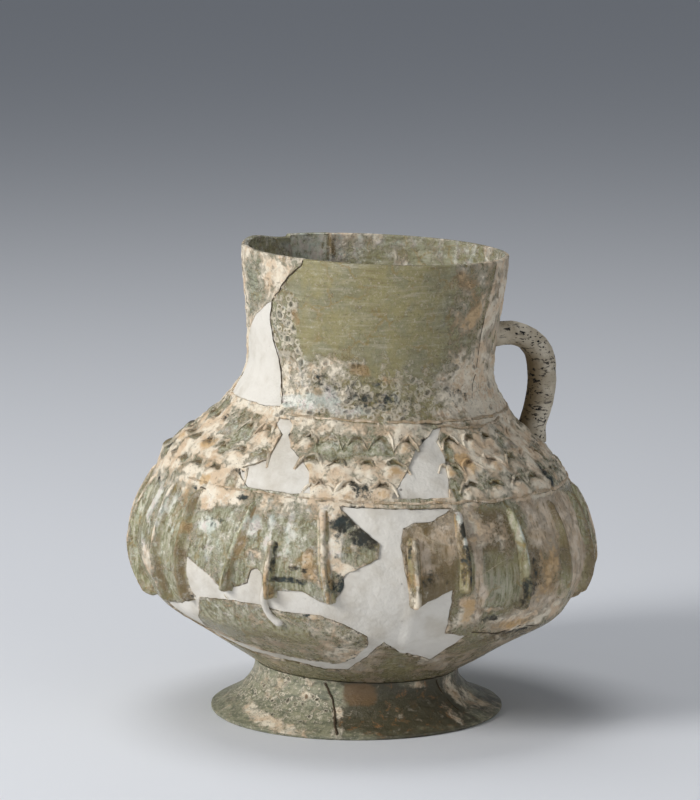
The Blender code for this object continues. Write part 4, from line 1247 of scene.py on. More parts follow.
    def paint_belly(self, found: dict[Stain, np.ndarray], azimuth: np.ndarray, height: np.ndarray,
                    large: np.ndarray, small: np.ndarray) -> None:
        """Paints the belly: grey-green and pearly at the left, brown and pink at the right."""
        belly = 1 - ramp(height, 0.0775, 0.079)
        left = between(azimuth, -100.0, -1.0, 5.0)
        right = between(azimuth, 6.0, 110.0, 4.0)
        hidden = 1 - np.maximum(left, right)
        under = 1 - ramp(height, 0.034, 0.042)
        corner = between(azimuth, -49.0, -33.0, 2.0) * ramp(height - 0.0705 - (azimuth + 49) / 16 * 0.006,
                                                            -0.001, 0.001)
        found[Stain.GREEN] += belly * (0.75 * left + 0.2 * right + 0.4 * hidden) * (1 - 0.75 * under)
        found[Stain.CRUST] += belly * (1 - under) * (0.26 * left + 0.24 * right + 0.26 * hidden + 0.26 * large)
        found[Stain.CRUST] += belly * left * (0.28 * ramp(height, 0.070, 0.077) + corner * (0.42 + 0.4 * small))
        found[Stain.CRUST] += belly * under * (0.24 + 0.2 * large + 0.16 * small)
        found[Stain.BROWN] += belly * under * (0.2 + 0.4 * large)
        found[Stain.PINK] += belly * under * (0.4 + 0.4 * large) * (height < 0.033) * between(azimuth, -70, 70, 5)
        found[Stain.CRUST] += belly * right * 0.1
        found[Stain.RINGS] += belly * 0.3 * (0.5 + large)
        found[Stain.PEARL_AND_PAINTED_LIGHT] += belly * left * (0.22 + 0.3 * small) * (1 - under)
        found[Stain.OCHRE] += belly * (0.16 * left + 0.2 * right + 0.2 * large) * (1 - under)
        found[Stain.PINK] += belly * (1 - under) * ((0.3 + 0.5 * large) * right + 0.2 * hidden + 0.12 * left)
        found[Stain.BROWN] += belly * ((0.34 + 0.3 * large) * right + 0.1 * left + 0.15 * hidden)
        found[Stain.DARK] += belly * (0.14 + 0.2 * small) * between(azimuth, -14.0, 4.0, 2.0)
        found[Stain.CRUST] += belly * 0.14 * between(azimuth, -14.0, 4.0, 2.0)

    def paint_inside(self, found: dict[Stain, np.ndarray], within: np.ndarray, azimuth: np.ndarray,
                     height: np.ndarray, large: np.ndarray, small: np.ndarray) -> None:
        """Paints the inner side: crusted in most places, clear at the back left of the neck, where pale pearly cover
        and green are painted light.
        """
        clear = (between(turn(azimuth, -148.0), -9.5, 10.0, 0.6) * ramp(height, 0.1, 0.11))[within]
        edge = (between(turn(azimuth, -159.0), -2.6, 1.2, 0.5) * ramp(height, 0.1, 0.11))[within]
        for stain in found:
            found[stain][within] = 0.0
        found[Stain.CRUST][within] = (0.4 + 0.4 * large + 0.16 * small)[within] * (1 - 0.3 * clear)
        # Painted light: in the clear zone the pearly cover and the pale green are raised to lighten the shaded inner
        # side, for the light that comes through the clear glass.
        found[Stain.PEARL_AND_PAINTED_LIGHT][within] = (0.3 + 0.4 * small)[within] * (1 - clear) + 0.6 * clear
        found[Stain.GREEN][within] = 0.5 + 0.5 * clear
        found[Stain.RINGS][within] = (0.3 + 0.3 * large)[within] * (1 - clear)
        found[Stain.PINK][within] = (0.2 + 0.6 * large)[within] * (1 - clear)
        found[Stain.BROWN][within] = edge
        found[Stain.DARK][within] = 0.1 * edge + (0.08 + 0.12 * small)[within] * (1 - clear)

    def paint(self, piece: bpy.types.Object, more: dict[Stain, np.ndarray] | None = None,
              less: np.ndarray | None = None) -> None:
        """Stores the stains on a piece that still stands upright.

        Args:
            piece: The piece.
            more: What is added to some stains.
            less: How much of what the wall has is kept at each point.
        """
        found = self.stains(Shaping.places(piece))
        for stain, cover in found.items():
            kept = cover if less is None else cover * less
            total = kept if more is None or stain not in more else kept + more[stain]
            layer = piece.data.attributes.new(stain.value, "FLOAT", "POINT")
            layer.data.foreach_set("value", np.clip(total, 0.0, 1.0).astype(np.float32))


@dataclass
class VesselGlass:
    """The blown wall: its relief and the breaks cut through it, with the plaster that fills them."""

    wall: Wall
    breaks: Breaks
    scales: ScaleBand
    painting: Painting
    segments: int = 420
    plaster_spacing: float = 0.0012
    row_spacing: float = 0.0009
    inner_row_spacing: float = 0.0022
    rim_rounding: float = 0.0006
    foot_wall: float = 0.0028
    wave: float = 0.0004
    crust_relief: float = 0.0004
    left_bulge: float = 0.0012
    sherd_step: float = 0.0005
    back_step: float = 0.0011
    rim_tilt: float = 0.0009
    plaster_low: float = 0.0003
    drip: tuple[tuple[float, float, float], ...] = (
        (-23.8, 0.0525, 0.0008), (-24.4, 0.0495, 0.0011), (-24.6, 0.047, 0.0011), (-24.3, 0.0447, 0.001),
        (-23.6, 0.0428, 0.001), (-22.6, 0.0415, 0.0011), (-21.6, 0.0407, 0.0013), (-20.9, 0.0403, 0.001),
        (-20.6, 0.0401, 0.0003))

    def profile(self, spacing: float) -> list[tuple[float, float]]:
        """Returns the section: down the outer side from the rim, under the base and up the inner side."""
        wall = self.wall
        outer = [(float(wall.radius(h)), float(h)) for h in self.even_heights(spacing)]
        foot_inner = wall.radii[0] - self.foot_wall
        under = [(foot_inner, wall.foot_height), (foot_inner / 2, wall.foot_height + wall.base_kick / 2),
                 (0.0, wall.foot_height + wall.base_kick)]
        floor = wall.foot_height + wall.base_thickness
        base = [(0.0, floor + wall.base_kick), (foot_inner / 2, floor + wall.base_kick / 2), (foot_inner, floor)]
        inner = []
        for height in self.even_heights(self.inner_row_spacing)[::-1][3:]:
            along_radius, along_height = wall.normal(height)
            inner.append((float(wall.radius(height) - wall.thickness * along_radius),
                          float(height - wall.thickness * along_height)))
        lip = []
        for i in range(1, 6):
            angle = math.pi * i / 6
            middle = wall.radii[-1] - wall.thickness / 2
            lip.append((middle - wall.thickness / 2 * math.cos(angle),
                        wall.rim - self.rim_rounding + self.rim_rounding * math.sin(angle)))
        return outer + under + base + inner + lip + [outer[0]]

    def even_heights(self, spacing: float) -> np.ndarray:
        """Returns heights from just under the rim down to the joint, evenly spaced along the wall."""
        wall = self.wall
        levels = np.linspace(wall.foot_height, wall.rim - self.rim_rounding, 600)
        radii = wall.radius(levels)
        run = np.concatenate([[0.0], np.cumsum(np.hypot(np.diff(levels), np.diff(radii)))])
        return np.interp(np.linspace(run[-1], 0.0, round(run[-1] / spacing)), run, levels)

    def tile(self, name: str, outline: Outline, zone: tuple[float, float], spacing: float,
             plastered: bool) -> bpy.types.Object:
        """Makes the piece of the wall that an outline cuts out.

        Args:
            name: The new object's name.
            outline: The outline.
            zone: The zone that its shares are of.
            spacing: The size of its faces.
            plastered: Whether it is plaster and not glass.
        """
        wall = self.wall
        azimuths = [azimuth for azimuth, _ in outline]
        shares = [share for _, share in outline]
        low = max(wall.share(zone, min(shares)) - 0.003, wall.foot_height)
        high = min(wall.share(zone, max(shares)) + 0.003, wall.rim - self.rim_rounding)
        heights = np.linspace(high, low, round(1.25 * (high - low) / spacing))
        outer = [(float(wall.radius(h)), float(h)) for h in heights]
        inner = []
        for height in heights[::-1]:
            along_radius, along_height = wall.normal(height)
            inner.append((float(wall.radius(height) - wall.thickness * along_radius),
                          float(height - wall.thickness * along_height)))
        start = min(azimuths) - 4.0
        sweep = max(azimuths) + 4.0 - start
        steps = round(math.radians(sweep) * float(wall.radius((low + high) / 2)) / spacing)
        tile = Shaping.spun(name, [*outer, *inner, outer[0]], steps, start, sweep)
        self.relieve(tile, plastered)
        edge = self.breaks.cutter(name + "_edge", outline, zone, 0.0)
        Shaping.cut(tile, edge, "INTERSECT")
        bpy.data.objects.remove(edge)
        return tile

    def relieve(self, piece: bpy.types.Object, plastered: bool) -> None:
        """Gives a turned wall its unevenness and its crust, or the smoother waves of plaster."""
        places = Shaping.places(piece)
        azimuth, height, radius = self.painting.polar(places)
        within = self.painting.is_inside(height, radius)
        along_radius, along_height = self.wall.normal(height)
        out = self.wave * grain(places, 0.03, 4.0, 2)
        fade = between(height, self.wall.foot_height + 0.003, self.wall.rim - 0.003, 0.003)
        bulge = np.exp(-(turn(azimuth, -95.0) / 45.0) ** 2 - ((height - 0.084) / 0.012) ** 2)
        out += self.left_bulge * bulge
        if plastered:
            out -= ~within * self.plaster_low
            out += ~within * 0.0003 * grain(places, 0.011, 6.0, 3)
            out += ~within * 0.0007 * between(azimuth, 11.5, 14.5, 1.2) * between(height, 0.028, 0.05, 0.003)
        else:
            crust = self.painting.stains(places)[Stain.CRUST]
            rough = grain(places, 0.0028, 5.0, 4)
            out += fade * ~within * self.crust_relief * ramp(crust, 0.2, 0.8) * (0.4 + rough)
            # The mask of painted shade under the arches also sinks the wall there.
            dark, proud, _ = self.scales.under_arch(azimuth, height)
            band = between(height, self.wall.shoulder, self.wall.neck_thread, 0.001) * ~within
            out += band * (0.0005 * proud - 0.0006 * dark)
            out += band * 0.0005 * grain(places, 0.007, 7.0, 3)
            side = self.painting.left_of(self.painting.neck_crack, azimuth, height)
            neck = ramp(height, 0.103, 0.108)
            out -= self.sherd_step * neck * ramp(side, 0.0, 0.9) * (azimuth < 0) * (azimuth > -137.0)
        beyond = -turn(azimuth, -159.0)
        out -= self.back_step * ramp(height, 0.11, 0.13) * (beyond > 0) * np.exp(-np.abs(beyond) / 22.0)
        near_rim = ramp(height, 0.135, self.wall.rim)
        tilt = np.exp(-(turn(azimuth, -108.0) / 11.0) ** 2) - 0.9 * ramp(-azimuth, 116.0, 134.0) * (azimuth > -137.5)
        angle = np.radians(azimuth)
        places[:, 0] += out * along_radius * np.sin(angle)
        places[:, 1] -= out * along_radius * np.cos(angle)
        places[:, 2] += out * along_height * fade + self.rim_tilt * near_rim * tilt
        Shaping.set_places(piece, places)

    def build(self) -> tuple[bpy.types.Object, bpy.types.Object, list[bpy.types.Object]]:
        """Builds the wall, the loose sherd and the plaster.

        Returns:
            The wall, the sherd and the plaster fills in the order of Breaks.fills.
        """
        coarse = 1.0
        breaks = self.breaks
        fills = [self.tile(name + "_fill", outline, zone, self.plaster_spacing, True)
                 for name, (outline, zone) in breaks.fills().items()]
        sherd_hole = breaks.cutter("sherd_hole", breaks.sherd, breaks.belly_zone, breaks.gap)
        Shaping.cut(fills[-1], sherd_hole, "DIFFERENCE")
        sherd = self.tile("lower_sherd_glass", breaks.sherd, breaks.belly_zone, self.row_spacing, False)
        shell = Shaping.spun("glass_wall", self.profile(self.row_spacing * coarse), round(self.segments / coarse))
        self.relieve(shell, False)
        holes = Shaping.join([breaks.cutter(name + "_hole", outline, zone, breaks.gap)
                              for name, (outline, zone) in breaks.fills().items()], "holes")
        Shaping.cut(shell, holes, "DIFFERENCE")
        for cutter in (holes, sherd_hole):
            bpy.data.objects.remove(cutter)
        for piece in (shell, sherd):
            self.painting.paint(piece)
        return shell, sherd, fills


@dataclass(frozen=True)
class Rib:
    """One rib: where its upper end is, how far round it drifts, and the shares of the height it spans.

    Attributes:
        azimuth: Where its upper end is, in degrees.
        drift: How much further round its lower end is, in degrees.
        top: Its upper end, as a share of the height from the joint to the shoulder thread.
        foot: Its lower end, in the same shares.
        crest: What stains its crest.
        left: What stains its left flank.
        right: What stains its right flank; a dark one is painted shade on the flank turned from the key light.
        low: What stains its lower half.
    """

    azimuth: float
    drift: float = 0.0
    top: float = 0.965
    foot: float = 0.36
    crest: Stain = Stain.CRUST
    left: Stain = Stain.GREEN
    right: Stain = Stain.BROWN
    low: Stain = Stain.OCHRE


@dataclass
class Ribs:
    """The ring of ribs that were pinched out of the belly, uneven as they were laid."""

    wall: Wall
    breaks: Breaks
    painting: Painting
    width: float = 0.0052
    crest: float = 0.0009
    proud_at_top: float = 0.0011
    proud_at_foot: float = 0.004
    spacing: float = 12.5
    first_hidden: float = 92.0
    last_hidden: float = 266.0
    across: int = 14
    along: int = 64
    # Painted shade: the dark right flanks of ribs 5 and 11 darken the flank turned from the key light.
    front: tuple[Rib, ...] = (
        Rib(-80.0, foot=0.33, right=Stain.GREEN), Rib(-63.0, drift=4.0, foot=0.38, low=Stain.BROWN),
        Rib(-51.5, drift=2.2, foot=0.42, crest=Stain.BROWN, right=Stain.BROWN, low=Stain.BROWN),
        Rib(-30.5, drift=-5.0, foot=0.52, crest=Stain.GREEN, right=Stain.OCHRE, low=Stain.BROWN),
        Rib(-23.0, top=0.8, foot=0.52, left=Stain.OCHRE, right=Stain.DARK),
        Rib(-11.5, drift=3.8, foot=0.52, left=Stain.PINK, right=Stain.OCHRE),
        Rib(12.3, drift=0.7, top=0.85, foot=0.51, left=Stain.DARK, right=Stain.CRUST, low=Stain.CRUST),
        Rib(25.0, drift=1.0, foot=0.58, crest=Stain.BROWN, left=Stain.BROWN, right=Stain.GREEN, low=Stain.BROWN),
        Rib(42.0, drift=1.5, foot=0.47, crest=Stain.GREEN, right=Stain.GREEN, low=Stain.BROWN),
        Rib(60.0, drift=-0.5, foot=0.48, crest=Stain.BROWN, left=Stain.BROWN, right=Stain.PINK, low=Stain.GREEN),
        Rib(77.0, drift=-1.0, foot=0.45, crest=Stain.BROWN, right=Stain.DARK, low=Stain.BROWN))

    # Spots on the ribs: the pearly ones are painted highlights on the rib glass, the dark ones painted shade on the
    # right flanks, and the ochre one a stain.
    rib_glints_shade_and_stains: tuple[Patch, ...] = (
        *Patch.several(Stain.PEARL_AND_PAINTED_LIGHT, (25.3, 75.8, 1.2, 3, 1), (25.7, 68.4, 1.1, 1.8, 1), (43, 70, 1.1, 4, 0.8),
                       (43.6, 63, 1, 3, 0.8)),
        *Patch.several(Stain.OCHRE, (23.4, 75, 0.7, 4, 0.8)),
        *Patch.several(Stain.DARK, (25.5, 72, 1.4, 1.9, 1), (61, 75.5, 1.5, 2.5, 0.6), (61.5, 53, 1.6, 2.5, 0.5),
                       (43.5, 52, 2, 7, 0.62), (25.6, 62, 1.8, 9, 0.5)))

    def all(self) -> list[Rib]:
        """Returns the ribs that the front shows and the even ones behind."""
        stretch = self.last_hidden - self.first_hidden
        spaces = round(stretch / self.spacing)
        return [*self.front, *(Rib(self.first_hidden + stretch * i / spaces) for i in range(spaces + 1))]

    def strip(self, name: str, rib: Rib) -> bpy.types.Object:
        """Makes one rib from a flat grid that is laid along the wall, pinched up to its crest and given a back."""
        Shaping.deselect()
        bpy.ops.mesh.primitive_grid_add(x_subdivisions=self.across, y_subdivisions=self.along, size=2.0)
        strip = Shaping.name_last(name)
        low, high = self.breaks.belly_zone
        top, foot = low + (high - low) * rib.top, low + (high - low) * rib.foot
        full_top, full_foot = low + (high - low) * 0.965, low + (high - low) * 0.36
        added = {stain: np.zeros(len(strip.data.vertices)) for stain in Stain}
        kept = np.ones(len(strip.data.vertices))
        for vertex in strip.data.vertices:
            u, v = vertex.co.x, (vertex.co.y + 1) / 2
            height = foot + (top - foot) * v
            seed = Vector((rib.azimuth, height * 260, 0.0))
            descent = min(max((full_top - height) / (full_top - full_foot), 0.0), 1.0)
            proud = self.proud_at_top + (self.proud_at_foot - self.proud_at_top) * math.sqrt(descent)
            proud *= 0.9 + 0.22 * noise.noise(seed * 0.4)
            ends = min(1.0, (1 - abs(2 * v - 1)) * 7) ** 0.5
            flat_share = self.crest / self.width
            side = max(0.0, (abs(u) - flat_share) / (1 - flat_share))
            shape = (1 - side) ** 1.45 * ends
            wobble = 0.0006 * noise.noise(seed * 0.35 + Vector((9, 0, 0)))
            azimuth = rib.azimuth + rib.drift * (1 - v)
            half = self.width / 2 * (0.85 + 0.15 * ends + 0.15 * noise.noise(seed * 0.4 + Vector((4, 0, 0))))
            azimuth += math.degrees((u * half + wobble) / self.wall.radius(height))
            roughness = 0.00016 * noise.noise(Vector((azimuth * 1.3, height * 500, 3.0)))
            vertex.co = self.wall.point(azimuth, height, -0.0004 + (proud + 0.0004) * shape + roughness * shape)
            top_edge = ends * max(0.0, 1 - max(0.0, abs(u) - flat_share) * 4.5)
            flank = ends * max(0.0, 1 - abs(abs(u) - 0.5) * 2.6) * (1 - top_edge)
            lower = ramp(np.array(1 - v), 0.35, 0.75)
            patchy = 0.72 + 0.7 * noise.noise(seed * 0.6 + Vector((u, 2, 0)))
            added[rib.crest][vertex.index] += 0.8 * top_edge * (1 - 0.5 * lower) * patchy
            added[rib.left if u < 0 else rib.right][vertex.index] += 0.72 * flank * (1 - 0.5 * lower) * patchy
            added[rib.low][vertex.index] += 0.6 * max(top_edge, flank) * lower * patchy
            kept[vertex.index] = 1 - 0.5 * max(top_edge, flank)
        azimuth, height, radius = self.painting.polar(Shaping.places(strip))
        for drop in self.rib_glints_shade_and_stains:
            added[drop.stain] += self.painting.patch_cover(drop, azimuth, height, radius)
        self.painting.paint(strip, added, kept)
        Shaping.only(strip)
        solidify = strip.modifiers.new("back", "SOLIDIFY")
        solidify.thickness = 0.0006
        solidify.offset = -1.0
        bpy.ops.object.modifier_apply(modifier=solidify.name)
        bpy.ops.object.mode_set(mode="EDIT")
        bpy.ops.mesh.select_all(action="SELECT")
        bpy.ops.mesh.normals_make_consistent(inside=False)
        bpy.ops.object.mode_set(mode="OBJECT")
        return strip

    def build(self) -> list[bpy.types.Object]:
        """Makes every rib."""
        return [self.strip(f"rib_{i + 1:02d}_glass", rib) for i, rib in enumerate(self.all())]


@dataclass
class Threads:
    """The two plain threads that bound the scale band."""

    wall: Wall
    painting: Painting
    thickness: float = 0.0015
    neck_start: float = -35.0
    neck_end: float = 269.0
    strand_start: float = 30.0
    strand_end: float = 66.0

    def ring(self, name: str, height: float, start: float, end: float, closed: bool,
             lift: Callable[[float], float] = lambda azimuth: 0.0) -> bpy.types.Object:
        """Makes one thread along the wall between two azimuths, with painted shade on its under side.

        Args:
            name: The new object's name.
            height: Its height on the wall.
            start: Where it starts, in degrees.
            end: Where it ends.
            closed: Whether it goes all the way round.
            lift: How much higher it is at an azimuth.
        """
        count = round((end - start) / 1.5)
        points, radii = [], []
        for i in range(count if closed else count + 1):
            azimuth = start + (end - start) * i / count
            angle = math.radians(azimuth)
            seed = Vector((math.sin(angle) * 9, math.cos(angle) * 9, height * 100))
            level = height + lift(azimuth) + 0.0006 * noise.noise(seed)
            points.append(self.wall.point(azimuth, level, 0.05 * self.thickness))
            radii.append(self.thickness / 2 * (0.72 + 0.55 * noise.noise(seed * 1.9 + Vector((3, 0, 0)))))
        ring = Shaping.rod(name, points, radii, closed, sides=2)
        spots = Shaping.places(ring)
        line = np.array([tuple(point) for point in points])
        nearest = np.argmin(np.linalg.norm(spots[:, None, :] - line[None, :, :], axis=2), axis=1)
        under = np.clip((line[nearest, 2] - spots[:, 2]) / (0.4 * self.thickness), 0.0, 1.0)
        # Painted shade: the thread's under side is darkened with dark and brown; its top gets crust, pink and ochre.
        self.painting.paint(ring, {Stain.CRUST: 0.16 * (1 - under), Stain.PINK: 0.7 * (1 - under),
                                   Stain.OCHRE: 0.4 * (1 - under), Stain.DARK: 0.6 * under,
                                   Stain.BROWN: 0.3 + 0.4 * under}, 0.4 * (1 - under))
        return ring

    def build(self) -> tuple[bpy.types.Object, bpy.types.Object]:
        """Makes the shoulder thread and the neck thread with its second strand at the right."""
        shoulder = self.ring("shoulder_thread_glass", self.wall.shoulder, 0.0, 360.0, True)
        neck = self.ring("neck_thread_glass", self.wall.neck_thread, self.neck_start, self.neck_end, False)
        middle = (self.strand_start + self.strand_end) / 2
        half = (self.strand_end - self.strand_start) / 2
        strand = self.ring(
            "strand", self.wall.neck_thread - 0.0012, self.strand_start, self.strand_end, False,
            lambda azimuth: -0.0012 * (1 - ((azimuth - middle) / half) ** 2))
        return shoulder, Shaping.join([neck, strand], "neck_thread_glass")


@dataclass
class Handle:
    """One rod drawn out from the neck, round a bend and down onto the shoulder, with a pad where it lands."""

    wall: Wall
    azimuth: float = 102.0
    top_above_thread: float = 0.022
    thickness: float = 0.0094
    arm_thickness: float = 0.0078
    finger_gap: float = 0.008
    embed: float = 0.001
    landing_share: float = 0.52
    end_flare: float = 1.15
    pieces: int = 7

    def line(self) -> list[tuple[float, float, float]]:
        """Returns its middle line in its own upright plane, as (radius, height, thickness)."""
        wall = self.wall
        top = wall.neck_thread + self.top_above_thread
        landing = wall.share((wall.shoulder, wall.neck_thread), self.landing_share)
        reach = wall.radii[5] + self.finger_gap + self.thickness / 2
        neck = float(wall.radius(top))
        shoulder = float(wall.radius(landing))
        drop = top - landing
        bends = [
            (neck, 0.1, 0.0, self.arm_thickness * 1.02), (neck, 0.4, -0.01, self.arm_thickness),
            (neck, 0.7, 0.05, self.arm_thickness * 1.05), (neck, 0.92, 0.18, self.arm_thickness * 1.16),
            (neck, 1.0, 0.38, self.thickness), (neck, 1.0, 0.57, self.thickness),
            (shoulder, 0.7, 0.74, self.thickness * 0.95), (shoulder, 0.2, 0.92, self.thickness * 0.98),
        ]
        line = [(neck - self.embed, top, self.arm_thickness * self.end_flare)]
        line += [(start + out * (reach - start), top - down * drop, width) for start, out, down, width in bends]
        return line + [(shoulder, landing - 0.002, self.thickness * self.end_flare)]

    def build(self) -> bpy.types.Object:
        """Makes the rod."""
        points = [Vector(row) for row in self.line()]
        padded = [2 * points[0] - points[1], *points, 2 * points[-1] - points[-2]]
        path = []
        for p0, p1, p2, p3 in zip(padded, padded[1:], padded[2:], padded[3:]):
            for i in range(self.pieces):
                t = i / self.pieces
                sweep = 2 * p1 + (p2 - p0) * t + (2 * p0 - 5 * p1 + 4 * p2 - p3) * t ** 2
                path.append((sweep + (3 * p1 - p0 - 3 * p2 + p3) * t ** 3) / 2)
        path.append(points[-1])
        angle = math.radians(self.azimuth)
        places = [Vector((p.x * math.sin(angle), -p.x * math.cos(angle), p.y)) for p in path]
        rod = Shaping.rod("handle_rod", places, [p.z / 2 for p in path], sides=7)
        spots = Shaping.places(rod)
        line = np.array([tuple(place) for place in places])
        distances = np.linalg.norm(spots[:, None, :] - line[None, :, :], axis=2)
        nearest = line[np.argmin(distances, axis=1)]
        outward = spots - nearest
        outward /= np.maximum(np.linalg.norm(outward, axis=1), 1e-9)[:, None]
        Shaping.set_places(rod, spots + outward * (0.00022 * grain(spots, 0.006, 8.0))[:, None])
        # Painted shade: the side of the rod that faces the jug is stored as inner and darkened brown in its material.
        beyond = np.hypot(spots[:, 0], spots[:, 1]) - np.hypot(nearest[:, 0], nearest[:, 1])
        inner = np.clip(0.5 - beyond / self.thickness, 0.0, 1.0)
        layer = rod.data.attributes.new("inner", "FLOAT", "POINT")
        layer.data.foreach_set("value", inner.astype(np.float32))
        return rod


@dataclass
class Foot:
    """The hollow splayed foot, whose top is tilted to meet the leaning base of the jug."""

    wall: Wall
    radius: float = 0.0472
    edge: float = 0.0012
    thickness: float = 0.0028
    power: float = 2.4
    gap: float = 0.0003
    segments: int = 300
    rows: int = 34
    patches: tuple[Patch, ...] = (
        *Patch.several(
            Stain.CRUST, (-50, 3.6, 8, 1.1, 0.55, -7), (-32, 2.2, 8, 1, 0.55, -7), (-60, 11.8, 9, 2.6, 0.3),
            (-27.4, 9.9, 1.6, 1.6, 0.5), (-26, 13.6, 1.5, 1.2, 0.4), (36, 14, 3, 1.2, 0.5), (-8, 1.6, 2, 1.4, 0.5),
            (-9, 7, 1.5, 2, 0.35), (62, 10, 3, 5, 0.5), (74, 6, 4, 3, 0.45), (48, 4, 2, 3, 0.4)),
        *Patch.several(Stain.OCHRE, (2, 11.8, 5.2, 3.2, 1), (-27.4, 9.9, 0.6, 0.6, 1), (30, 8, 2, 1.5, 0.5)),
        *Patch.several(
            Stain.DARK, (28, 6.5, 16, 7, 0.5), (16, 11, 4, 3, 0.3), (3, 5.5, 8, 2, 0.5), (44, 12.5, 3, 4, 0.5),
            (56, 8, 1, 6, 0.5), (68, 8, 1, 5, 0.5), (3, 15, 9, 0.7, 0.5)),
    )
    cracks: tuple[tuple[str, float, tuple[tuple[float, float], ...]], ...] = (
        ("foot_crack_dirt", 0.0012, ((-17.6, 0.0146), (-15, 0.0115), (-12.4, 0.0095), (-10.5, 0.006),
                                     (-9.3, 0.0035), (-7.5, 0.0013))),
        ("foot_fold_dirt", 0.0007, ((50.7, 0.0144), (53.6, 0.0085), (54, 0.004))),
    )

    def place(self, azimuth: float, height: float) -> Vector:
        """Returns a point on the outer side of the finished foot."""
        top = self.wall.foot_height - self.gap
        joint = self.wall.radii[0]
        drop = min(max((top - height) / (top - self.edge), 0.0), 1.0)
        radius = joint + (self.radius - joint) * drop ** self.power
        x, y = radius * math.sin(math.radians(azimuth)), -radius * math.cos(math.radians(azimuth))
        return Vector((x + self.wall.joint_offset, y, height - x * math.tan(self.wall.lean) * height / top))

    def build(self) -> bpy.types.Object:
        """Makes the foot."""
        top = self.wall.foot_height - self.gap
        joint = self.wall.radii[0]
        outer = []
        for i in range(self.rows + 1):
            drop = i / self.rows
            outer.append((joint + (self.radius - joint) * drop ** self.power, top + (self.edge - top) * drop))
        inner = [(r - self.thickness, z) for r, z in reversed(outer[:-1])]
        lip = [(self.radius + 0.0001, self.edge / 2), (self.radius - 0.0002, 0.0002), (self.radius - 0.0005, 0.0)]
        ring = outer + lip + [(self.radius - self.thickness, 0.0)] + inner
        foot = Shaping.spun("foot_glass", ring + ring[:1], self.segments)
        places = Shaping.places(foot)
        azimuth = np.degrees(np.arctan2(places[:, 0], -places[:, 1]))
        radius = np.hypot(places[:, 0], places[:, 1])
        height = places[:, 2].copy()
        outside = radius > joint + (self.radius - joint) * np.clip((top - height) / top, 0, 1) ** self.power - 0.001
        lifted = between(height, 0.0012, top - 0.001, 0.0008)
        out = 0.00025 * grain(places, 0.008, 11.0, 3) + 0.00012 * np.sin(height / 0.0011 + grain(places, 0.02, 12.0))
        out *= lifted * outside
        places[:, 0] += out * np.sin(np.radians(azimuth))
        places[:, 1] -= out * np.cos(np.radians(azimuth))
        places[:, 2] -= places[:, 0] * math.tan(self.wall.lean) * height / top
        places[:, 0] += self.wall.joint_offset
        right = between(azimuth, -7.0, 120.0, 6.0)
        found = {Stain.CRUST: 0.2 + 0.2 * grain(places, 0.008, 13.0), Stain.OCHRE: np.zeros(len(places)),
                 Stain.DARK: 0.14 + 0.42 * right + 0.25 * grain(places, 0.01, 14.0)}
        found[Stain.DARK] -= 0.2 * (1 - ramp(height, 0.0015, 0.004))
        found[Stain.CRUST] -= 0.1 * right * (azimuth < 56)
        for patch in self.patches:
            across = np.radians(turn(azimuth, patch.azimuth)) * radius
            slanted = height - patch.height - across * math.tan(math.radians(patch.slant))
            cover = np.exp(-((across / patch.wide) ** 4 + (slanted / patch.tall) ** 4) / 1.5)
            found[patch.stain] = found[patch.stain] + patch.strength * cover * outside
        pitted = (1 - 0.85 * right) * ramp(height, 0.002, 0.006)
        Shaping.set_places(foot, places)
        for name, cover in [*((stain.value, cover) for stain, cover in found.items()), ("pitted", pitted)]:
            layer = foot.data.attributes.new(name, "FLOAT", "POINT")
            layer.data.foreach_set("value", np.clip(cover, 0.0, 1.0).astype(np.float32))
        return foot


@dataclass
class Studio:
    """The plain pale floor, the soft lights and the camera of the photograph."""

    floor_size: float = 24.0
    floor_colour: Colour = srgb(228, 230, 234)
    eye: tuple[float, float, float] = (-0.0038, -1.2075, 0.292)
    pitch: float = math.radians(9.0)
    lens: float = 171.0

    def build(self) -> None:
        """Sets the stage."""
        Shaping.deselect()
        bpy.ops.mesh.primitive_plane_add(size=self.floor_size)
        floor = Shaping.name_last("floor")
        mixer = Mixer.start("floor_looks")
        mixer.set(Base_Color=self.floor_colour, Roughness=0.9)
        floor.data.materials.append(mixer.material)
        camera_data = bpy.data.cameras.new("camera")
        camera_data.lens = self.lens
        camera_data.clip_start = 0.05
        camera_data.clip_end = 60.0
        camera = bpy.data.objects.new("camera", camera_data)
        camera.location = self.eye
        camera.rotation_euler = (math.pi / 2 - self.pitch, 0.0, 0.0)
        bpy.context.scene.collection.objects.link(camera)
        bpy.context.scene.camera = camera
        self.softbox("key", (-1.15, -0.75, 0.7), 0.5, 18.5)
        self.softbox("fill", (1.25, -1.05, 0.35), 0.9, 4.6)
        self.softbox("top", (-0.2, 0.3, 1.4), 0.8, 6.5)
        world = bpy.data.worlds.new("studio")
        world.use_nodes = True
        world.node_tree.nodes["Background"].inputs["Color"].default_value = srgb(190, 196, 205)
        world.node_tree.nodes["Background"].inputs["Strength"].default_value = 0.3
        bpy.context.scene.world = world
        bpy.context.scene.view_settings.view_transform = "Standard"

    def softbox(self, name: str, place: tuple[float, float, float], size: float, power: float) -> None:
        """Hangs one soft light that is aimed at the jug."""
        light = bpy.data.lights.new(name, "AREA")
        light.shape = "SQUARE"
        light.size = size
        light.energy = power
        lamp = bpy.data.objects.new(name, light)
        lamp.location = place
        aim = Vector((0.0, 0.0, 0.07)) - Vector(place)
        lamp.rotation_euler = aim.to_track_quat("-Z", "Y").to_euler()
        bpy.context.scene.collection.objects.link(lamp)


